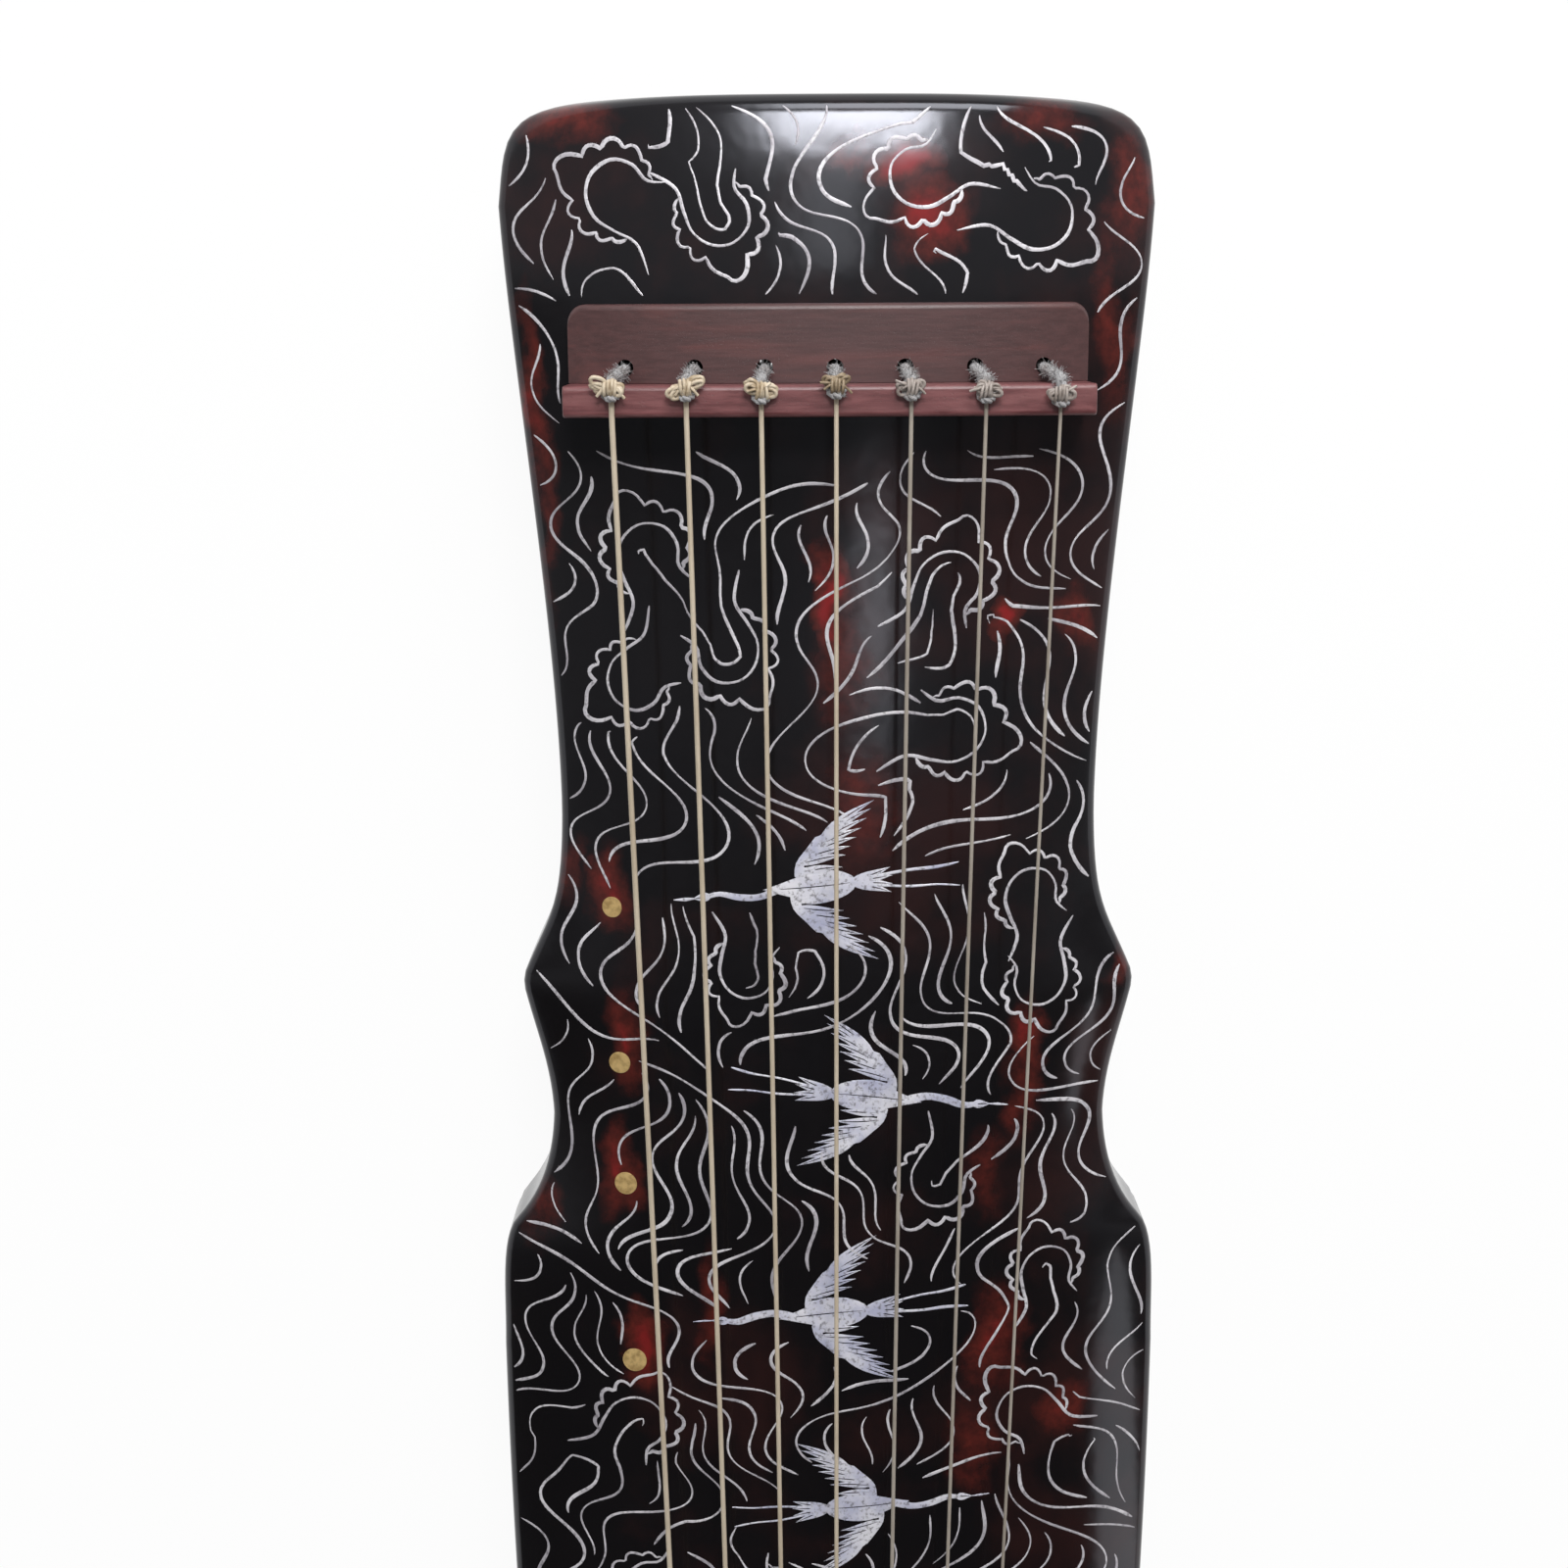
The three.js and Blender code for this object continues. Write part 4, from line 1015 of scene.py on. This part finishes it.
def string_y(number, share):
    """Where a string lies at a share of the speaking length."""
    return string_centre + (1 - (number - 1) / 3) * mix(bridge_span, nut_span, share) / 2


def peg_cutters(radius, low, high):
    """Round cutters over the seven pegs."""
    cutters = []
    for number in range(1, 8):
        circle = arc(peg_x, peg_y(number), radius, 0, 345, 23)
        cutters.append(level_piece(f"cutter_{number}", circle, low, high))
    return cutters


carve(head_strip, peg_cutters(cord_hole, 60, 99))
carve(soundboard, peg_cutters(2.5, 36, 99))
strip_tones = ((0.056, 0.026, 0.026), (0.077, 0.034, 0.034), (0.14, 0.045, 0.042))
dark_strip = wood_finish("dark_strip_wood", *strip_tones, (1, 0.06, 1), 0.36, 0.0011)
fit(head_strip, dark_strip, "dark_hardwood", "head_strip")

# ---- Tail nut, saddle and corner inlays ----
# The nut is a low hardwood bar that the strings leave the board over, rounded at the tail. Under
# it a rounded block turns them to the feet, and two thin curved inlays cover the board's corners.
dark_tones = ((0.03, 0.0125, 0.01), (0.066, 0.026, 0.019), (0.1, 0.042, 0.03))
dark_wood = wood_finish("dark_hardwood", *dark_tones, (0.14, 1, 1), 0.36)
dark_cross = wood_finish("dark_cross_wood", *dark_tones, (1, 0.1, 1), 0.36)
nut_half = 34
turn_x = -614
turn_round = 4


def nut_top(y):
    return board_top(nut_x, y) + 2.5


def nut_section(y):
    bend = arc(turn_x, nut_top(y) - turn_round, turn_round, 180, 90, 8)
    return [(nut_x, nut_bed), (turn_x - turn_round, nut_bed), *bend, (nut_x, nut_top(y))]


nut = cross_piece("tail_nut_bar", [mix(-nut_half, nut_half, i / 40) for i in range(41)], nut_section)
ease_edges(nut, 0.5)
fit(nut, dark_cross, "dark_hardwood", "tail_nut")

low_turn_z = 34
saddle_side = [(-600, saddle_top), (turn_x - turn_round, saddle_top)]
saddle_side += [*arc(turn_x, low_turn_z, turn_round, 180, 270, 8), (-600, underside_z)]
saddle = cross_piece("tail_saddle_block", (-nut_half, nut_half), lambda y: saddle_side)
ease_edges(saddle, 0.5)
fit(saddle, dark_cross, "dark_hardwood", "tail_saddle")

inlay_x = -548
for hand, side in (("left", 1), ("right", -1)):
    inlay_rings = []
    for x in [x for x in stations if x <= inlay_x - 0.1] + [inlay_x]:
        narrowed = clamp(((x + end_x) / (end_x + inlay_x) - 0.34) / 0.28, 0, 1)
        narrowed = narrowed * narrowed * (3 - 2 * narrowed)
        outer = half_width(x) + 0.05
        inner = mix(34.6, outer - 13, narrowed)
        row = [mix(inner, outer, k / 10) for k in range(11)]
        end = -622.08 if x < -621.99 else x
        ring = [(end, side * y, board_top(x, min(y, outer - 0.05)) + 1.5) for y in row]
        ring += [(end, y, z - 1.5 - 2.9) for _, y, z in reversed(ring)]
        inlay_rings.append(ring)
    inlay = ring_piece(f"corner_inlay_{hand}_veneer", inlay_rings)
    ease_edges(inlay, 0.6, 3, 50)
    fit(inlay, dark_wood, "dark_hardwood", f"corner_inlay_{hand}")


# ---- Studs ----
# Thirteen thin discs of brass let into the board beside the thickest string, which mark where it
# is stopped. The one in the middle is the largest. Their rims are eased and they are hand rubbed.
brass, place = new_finish("rubbed_brass")
rubbed = (place * (1, 0.25, 1)).cloud(0.0006, 3)
dull = place.cloud(0.0022, 4).ease(0.35, 0.7)
colour = dull.blend((0.72, 0.51, 0.22), (0.42, 0.27, 0.1))
values = {
    "Base Color": colour,
    "Metallic": 0.5,
    "Roughness": 0.34 + 0.2 * rubbed,
    "Normal": rubbed.dent(0.00002),
}
place.surface(values)


def turn_piece(name, rows, sides, middle, lean=None, crease=32, flutes=0):
    """A turned piece from rows of (height, radius) or, with flutes, (height, radius, depth cut)."""
    rings = []
    for z, radius, *depth in rows:
        ring = []
        for i in range(sides):
            angle = i / sides * 2 * math.pi
            reach = radius - (depth[0] * abs(math.sin(flutes * angle / 2)) if flutes else 0)
            spot = (math.cos(angle) * reach, math.sin(angle) * reach, z)
            if lean:
                spot = lean @ Vector(spot)
            ring.append([c + m for c, m in zip(spot, middle)])
        rings.append(ring)
    return ring_piece(name, rings, crease)


for number, x, y, radius in studs:
    lean_x = board_top(x + 1, y) - board_top(x - 1, y)
    lean_y = board_top(x, y + 1) - board_top(x, y - 1)
    square = Vector((0, 0, 1)).rotation_difference(Vector((-lean_x, -lean_y, 2)).normalized())
    rows = [(-1.5, radius), (0.02, radius), (0.11, radius - 0.05), (0.15, radius - 0.16)]
    rows += [(0.165, radius * 0.55), (0.17, 0.05)]
    disc = turn_piece(f"stud_{number:02d}_disc", rows, 40, (x, y, board_top(x, y)), square.to_matrix())
    fit(disc, brass, "stud_metal", f"stud_{number:02d}")


# ---- Strings ----
# Seven strings, each a silk core closely wound with flat silk. Each runs from a bow knot on the
# bridge over the crest, the nut and the rounded tail, under the saddle and round one of the feet.
def crossways(centres, closed, first_normal):
    """Two directions square to a way at each of its points, led along it without a twist."""
    count = len(centres)
    normal = None
    found = []
    for i in range(count):
        before = centres[(i - 1) % count if closed else max(i - 1, 0)]
        after = centres[(i + 1) % count if closed else min(i + 1, count - 1)]
        tangent = (Vector(after) - Vector(before)).normalized()
        if normal is None:
            normal = first_normal(tangent)
        normal = (normal - tangent * normal.dot(tangent)).normalized()
        found.append((normal.copy(), tangent.cross(normal)))
    return found


def around(square, angle):
    """The way out from a middle at an angle round it."""
    return square[0] * math.cos(angle) + square[1] * math.sin(angle)


def tube_normal(tangent):
    normal = Vector((0, 1, 0)).cross(tangent)
    return normal if normal.length >= 0.1 else Vector((1, 0, 0)).cross(tangent)


class Skein(Gathered):
    """Tubes, each laid along a way of points."""

    def tube(self, centres, radius, sides=10, closed=False):
        points = []
        for centre, square in zip(centres, crossways(centres, closed, tube_normal)):
            for k in range(sides):
                points.append(Vector(centre) + around(square, k / sides * 2 * math.pi) * radius)
        skin = ring_faces(len(centres), sides, not closed)
        if closed:
            # The last ring is joined to the first one.
            last = len(points) - sides
            skin += [(last + k, last + (k + 1) % sides, (k + 1) % sides, k) for k in range(sides)]
        self.add(points, skin)

    def finish(self, name):
        return shape_piece(name, self.points, self.faces, 60)


def silk_finish(name, pale, deep, wound=True):
    material, place = new_finish(name)
    stain = place.cloud(0.02 if wound else 0.003, 4).ease(0.3, 0.75)
    fibre = (place * (1, 3, 3)).cloud(0.0012, 3, 0.7)
    winding = place.node(
        "ShaderNodeTexWave",
        {"wave_type": "BANDS", "bands_direction": "X"},
        {"Vector": place, "Scale": 900 if wound else 260, "Distortion": 0.6, "Detail": 1},
    )
    colour = stain.blend(pale, deep)
    colour = ((1 - fibre) * 0.35).blend(colour, tuple(c * 0.55 for c in deep))
    values = {
        "Base Color": colour,
        "Roughness": 0.42 + 0.16 * fibre,
        "Normal": (winding * 0.5 + fibre * 0.5).dent(0.00005),
    }
    place.surface(values)
    return material


string_radii = {n: mix(1.6, 1.0, (n - 1) / 6) / 2 for n in range(1, 8)}
pale_silk = silk_finish("pale_silk", (0.56, 0.48, 0.37), (0.45, 0.37, 0.27))
grey_silk = silk_finish("grey_silk", (0.38, 0.34, 0.29), (0.26, 0.22, 0.18))
bow_cream = silk_finish("bow_cream", (0.66, 0.57, 0.44), (0.34, 0.25, 0.15), False)
bow_brown = silk_finish("bow_brown", (0.34, 0.26, 0.17), (0.17, 0.12, 0.07), False)
bow_grey = silk_finish("bow_grey", (0.4, 0.35, 0.32), (0.22, 0.18, 0.155), False)
# Each knot: where it lies, how far its loops reach, how they are turned, its strand and silk.
bows = {
    1: (543.9, 5.9, 3.4, 16, -10, 0.6, bow_cream),
    2: (543.9, 5.2, 5.6, -12, 36, 0.58, bow_cream),
    3: (543.1, 4.6, 5.0, 26, -4, 0.56, bow_cream),
    4: (544.4, 3.9, 4.2, 38, 34, 0.5, bow_brown),
    5: (543.8, 3.9, 3.4, -2, 30, 0.5, bow_grey),
    6: (543.0, 3.4, 4.0, 28, -8, 0.5, bow_grey),
    7: (541.8, 3.9, 3.4, -12, 16, 0.5, bow_grey),
}
bow_loop = ((0.1, 0.2, 0.3), (0.55, 0.9, 0.8), (0.95, 0.5, 0.7), (0.95, -0.4, 0.3), (0.5, -0.8, 0.1))
foot_neck = 9.5
neck_top = 27
used_room = {1: 0.0, -1: 0.0}
for number in range(1, 8):
    radius = string_radii[number]
    knot_x, left, right, left_turn, right_turn, strand, silk = bows[number]
    y_head, y_tail = string_y(number, 0), string_y(number, 1)
    rest = crest(y_head) + radius
    nut_z = nut_top(y_tail)
    way = [(knot_x + 0.6, y_head, rest + 0.7), (knot_x - 1.4, y_head, rest + 0.35)]
    way += [(538.2, y_head, rest), (536.6, y_head, rest - 0.05)]
    for share in (0.01, 0.25, 0.5, 0.75, 0.99):
        z = mix(rest - 0.1, nut_z + radius, share)
        way.append((mix(bridge_x, nut_x, share), mix(y_head, y_tail, share), z))
    tail_way = [(nut_x, nut_z + radius), *arc(turn_x, nut_z - turn_round, turn_round + radius, 90, 180, 8)]
    tail_way += arc(turn_x, low_turn_z, turn_round + radius, 180, 270, 8)
    way += [(x, y_tail, z) for x, z in tail_way]
    side = 1 if number <= 4 else -1
    away_x, away_y = way[-1][0] - foot_x, way[-1][1] - side * foot_y
    width = 2 * radius
    top = neck_top - radius - used_room[side]
    used_room[side] += 1.5 * (width + 0.5) + width + 0.6
    wound = foot_neck + radius
    first = math.atan2(away_y, away_x) + side * math.acos(wound / math.hypot(away_x, away_y))
    for i in range(73):
        angle = first + side * i / 48 * 2 * math.pi
        way.append((*turned(foot_x, side * foot_y, angle, wound, 0), top - (width + 0.5) * i / 48))
    last = Vector(way[-1]) - Vector(way[-2])
    way.append(tuple(Vector(way[-1]) + last.normalized() * width))
    skein = Skein()
    skein.tube(way, radius)
    string = skein.finish(f"silk_string_{number}")
    fit(string, pale_silk if number < 5 else grey_silk, "string_silk", f"string_{number}")

    # The knot: a few loose loops to either side, drawn together by uneven wraps, with its ends out.
    heart_z = crest(y_head) + 2.1
    skein = Skein()
    bow_way = []
    for wing_number in range(6):
        wing = 1 if wing_number % 2 else -1
        reach, degrees = (left, left_turn) if wing > 0 else (right, right_turn)
        tilt = math.radians(degrees + luck.uniform(-22, 22))
        reach *= luck.uniform(0.7, 1.05)
        breadth = luck.uniform(0.6, 1.2)
        rise = luck.uniform(-0.5, 0.9)
        for u, v, w in bow_loop:
            x, out = turned(knot_x, 0, -tilt, v * breadth * 1.3, u * reach)
            bow_way.append((x, y_head + wing * out, heart_z + w + rise * u))
    skein.tube(flowed(bow_way, 0.4, True), strand, 9, True)
    wraps_way = []
    for i in range(109):
        angle = i / 24 * 2 * math.pi
        loose = 1 + 0.16 * math.sin(i * 0.37 + number)
        x = knot_x + 0.1 + 1.9 * loose * math.cos(angle)
        y = y_head - 1.2 + i * 0.022 + 0.7 * math.sin(i * 0.13 + number)
        wraps_way.append((x, y, heart_z + 0.3 + 1.5 * loose * math.sin(angle)))
    skein.tube(wraps_way, strand * 0.85, 9)
    for end_side in (1, -1, 1):
        reach, bend = luck.uniform(2.4, 4.8), luck.uniform(-3, 2.5)
        ends = [
            (knot_x + 0.4, y_head + end_side * 0.6, heart_z + 0.4),
            (knot_x + 0.6 + bend * 0.3, y_head + end_side * reach * 0.5, heart_z + 1.5),
            (knot_x + 0.3 + bend, y_head + end_side * reach, heart_z + 1.0),
        ]
        skein.tube(flowed(ends, 0.4), strand * 0.75, 8)
    fit(skein.finish(f"string_bow_{number}"), silk, "string_silk")


# ---- Peg cords ----
# A twisted cord of grey-white wool for each string. It comes up out of the peg's bore through the
# board and the strip, lies over the bridge's head edge and holds the string's knot in a loop.
wool, place = new_finish("peg_cord_wool")
fibre = (place * (2, 2, 1)).cloud(0.0005, 4, 0.7)
soil = place.cloud(0.005, 3).ease(0.4, 0.8)
colour = soil.blend((0.4, 0.4, 0.41), (0.22, 0.19, 0.175))
colour = ((1 - fibre) * 0.5).blend(colour, (0.11, 0.095, 0.09))
values = {"Base Color": colour, "Roughness": 0.9, "Normal": fibre.dent(0.0003), "Sheen Weight": 0.4}
place.surface(values)


def ply_normal(tangent):
    return Vector((0, 1, 0)) if abs(tangent.y) < 0.9 else Vector((0, 0, 1))


def lay_plies(skein, centres, ply, offset, pitch, closed=False):
    """Lays two twisted plies along a way, and gives back the directions square to it."""
    lengths = lengths_along(centres)
    turns_all = max(1, round(lengths[-1] / pitch))
    square = crossways(centres, closed, ply_normal)
    for start in (0, math.pi):
        line = []
        for centre, walked, ways in zip(centres, lengths, square):
            angle = start + 2 * math.pi * turns_all * walked / lengths[-1]
            line.append(Vector(centre) + around(ways, angle) * offset)
        skein.tube(line, ply, 8, closed)
    return square


loop_shape = ((1, 0, 0.3), (0.62, 0.68, 0.05), (0, 1, 0), (-0.7, 0.72, 0.4), (-1, 0, 1))
loop_shape += ((-0.7, -0.72, 0.4), (0, -1, 0), (0.62, -0.68, 0.05))
for number in range(1, 8):
    y_peg, y_string = peg_y(number), string_y(number, 0)
    top = crest(y_string)
    strip_z = board_top(strip_x, y_peg) + strip_rise
    trunk_points = [(peg_x, y_peg, z) for z in (14.7, 40, 70)]
    trunk_points += [(548.5, y_peg, strip_z - 3), (547.9, mix(y_peg, y_string, 0.25), strip_z + 3)]
    for angle in (0, 0.52, 1.05, 1.57):
        trunk_points.append((543.3 + 2.7 * math.cos(angle), y_string, top - 1.2 + 2.7 * math.sin(angle)))
    trunk_points.append((541.9, y_string, top + 1.7))
    trunk = flowed(trunk_points, 0.7)
    skein = Skein()
    square = lay_plies(skein, trunk, 0.86, 0.7, 5.2)
    low, high = top + 0.9, top + 2.2 + 2 * string_radii[number]
    middle = bows[number][0] - 1.0
    loop_points = []
    for along, out, rise in loop_shape:
        loop_points.append((middle + along * 1.8, y_string + out * 2.0, mix(low, high, rise)))
    lay_plies(skein, flowed(loop_points, 0.6, True), 0.55, 0.45, 3.6, True)
    # Loose fibres that stand off the wool where it is out in the open.
    open_places = [i for i, c in enumerate(trunk) if c[2] > strip_z + 1]
    for _ in range(300):
        i = luck.choice(open_places)
        out = around(square[i], luck.uniform(0, 2 * math.pi))
        base = Vector(trunk[i]) + out * 1.2
        drift = Vector((luck.uniform(-1, 1), luck.uniform(-1, 1), luck.uniform(-0.6, 1)))
        middle_way = base + out * 0.5 + drift * 0.3
        tip = base + out * luck.uniform(0.7, 1.2) + drift * luck.uniform(0.6, 1.3)
        skein.tube([base, middle_way, tip], 0.06, 3)
    fit(skein.finish(f"wool_cord_{number}"), wool, "cord_wool", f"peg_cord_{number}")

# ---- Pegs, peg plate and guards ----
# Seven turned hardwood pegs stand in a row under the head. Each is waisted, fluted for the fingers
# and bored for its cord. They bear against a drilled plate, between two blocks that stand on the table.
peg_length = 38
peg_radius = 8.02
# The peg's shape from its foot up: height, radius and depth of the flutes, as shares.
peg_profile = [
    (0.0, 0.25, 0), (0.0, 0.52, 0), (0.012, 0.6, 0), (0.04, 0.68, 0.04), (0.075, 0.7, 0.09),
    (0.16, 0.685, 0.13), (0.32, 0.66, 0.14), (0.44, 0.69, 0.13), (0.53, 0.75, 0.08), (0.565, 0.78, 0.0),
    (0.585, 0.72, 0), (0.6, 0.72, 0), (0.62, 0.82, 0), (0.68, 0.91, 0), (0.74, 0.965, 0), (0.82, 0.995, 0),
    (0.9, 1.0, 0), (0.955, 0.985, 0), (0.985, 0.95, 0), (1.0, 0.9, 0), (1.0, 0.25, 0),
]
peg_rows = [(h * peg_length, r * peg_radius, cut * peg_radius) for h, r, cut in peg_profile]
for number, bore in enumerate(peg_cutters(2.0, -1, 44), 1):
    middle = (peg_x, peg_y(number), 1.7)
    peg = turn_piece(f"fluted_peg_{number}", peg_rows, 64, middle, crease=34, flutes=8)
    carve(peg, [bore], 34)
    fit(peg, dark_wood, "dark_hardwood", f"peg_{number}", body=f"peg_{number}_body")

plate = block("drilled_peg_plate", (534.8, -68.93, seam_z), (562.8, 65.53, plate_top))
carve(plate, peg_cutters(cord_hole, 36, 50))
ease_edges(plate, 0.3, 2)
fit(plate, dark_cross, "dark_hardwood", "peg_plate")

for hand in ("left", "right"):
    low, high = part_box(f"peg_guard_{hand}")
    x1, y1, x2, y2 = low.x / MM, low.y / MM, high.x / MM, high.y / MM
    side_view = [(x1 + 4, 0), (x2 - 4, 0), (x2 - 1.2, 1.2), (x2, 4)]
    side_view += [(x2, underside_z), (x1, underside_z), (x1, 4), (x1 + 1.2, 1.2)]
    guard = cross_piece(f"peg_guard_{hand}_block", (y1, y2), lambda y: side_view)
    ease_edges(guard, 0.9, 4)
    fit(guard, dark_wood, "dark_hardwood", f"peg_guard_{hand}")

# ---- Feet and sockets ----
# Two turned hardwood feet under the waist. Each has a collar, a neck that its strings are wound
# round and a flared base, and its square tenon is held by a square collar in the bottom board.
socket_x = (-306.92, -280.92)
# The foot's shape from the table up: height and radius.
foot_rows = [
    (0.0, 1.0), (0.0, 11.2), (0.35, 12.1), (1.2, 12.8), (1.9, 13.0), (2.6, 12.8), (3.3, 12.0), (4.1, 10.7),
    (5.0, 9.9), (5.9, 9.55), (7.0, foot_neck), (26.2, foot_neck), (26.9, 9.6), (27.35, 10.0), (27.5, 10.9),
    (27.6, 12.3), (27.9, 12.85), (28.5, 13.0), (29.3, 13.0), (29.8, 12.7), (30.0, 12.2), (30.0, 1.0),
]
for hand, y in (("left", foot_y), ("right", -foot_y)):
    foot = turn_piece(f"turned_foot_{hand}", foot_rows, 72, (foot_x, y, 0))
    fit(foot, dark_wood, "dark_hardwood", f"foot_{hand}")
    low, high = (socket_x[0], y - 13, 30.02), (socket_x[1], y + 13, seam_z)
    socket = block(f"foot_socket_{hand}_collar", low, high)
    carve(socket, [block("tenon_hole", (-301.2, y - 7.3, 28), (-286.6, y + 7.3, 42))])
    ease_edges(socket, 0.35, 2)
    fit(socket, dark_cross, "dark_hardwood", f"foot_socket_{hand}")

# ---- Sound hole rims and sound posts ----
# Each sound hole is lined with a hardwood ring set flush in the bottom board. Inside stand a round
# and a square post of plain soft wood that carry the soundboard.
for name, x, length, width in (("long", long_hole_x, 200, 26), ("short", short_hole_x, 100, 24)):
    rim_piece = slot_piece(f"{name}_hole_rim_ring", x, length + 8, width + 8, underside_z, seam_z)
    carve(rim_piece, [slot_piece("opening", x, length, width, below_board, above_board)], 40)
    ease_edges(rim_piece, 0.8, 3, 60)
    fit(rim_piece, dark_wood, "dark_hardwood", f"{name}_hole_rim")

soft_wood, place = new_finish("plain_wood")
rings_tone = (place * (1, 1, 0.12)).cloud(0.003, 4, 0.6, 0.4)
colour = rings_tone.ease(0.35, 0.65).blend((0.36, 0.22, 0.11), (0.52, 0.36, 0.2))
values = {
    "Base Color": colour,
    "Roughness": 0.6 + 0.15 * rings_tone,
    "Normal": rings_tone.dent(0.0001),
}
place.surface(values)
low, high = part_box("round_post")
round_rows = [(low.z / MM, 8.4), (low.z / MM + 0.6, 9.0), (high.z / MM - 0.6, 9.0), (high.z / MM, 8.4)]
round_post = turn_piece("round_sound_post", round_rows, 40, ((low.x + high.x) / 2 / MM, 0, 0))
fit(round_post, soft_wood, "plain_wood", "round_post")
low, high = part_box("square_post")
square_post = block("square_sound_post", tuple(c / MM for c in low), tuple(c / MM for c in high))
ease_edges(square_post, 0.6, 2)
fit(square_post, soft_wood, "plain_wood", "square_post")

# ---- Closing ----
# The view transform is plain.
scene.view_settings.view_transform = "Standard"
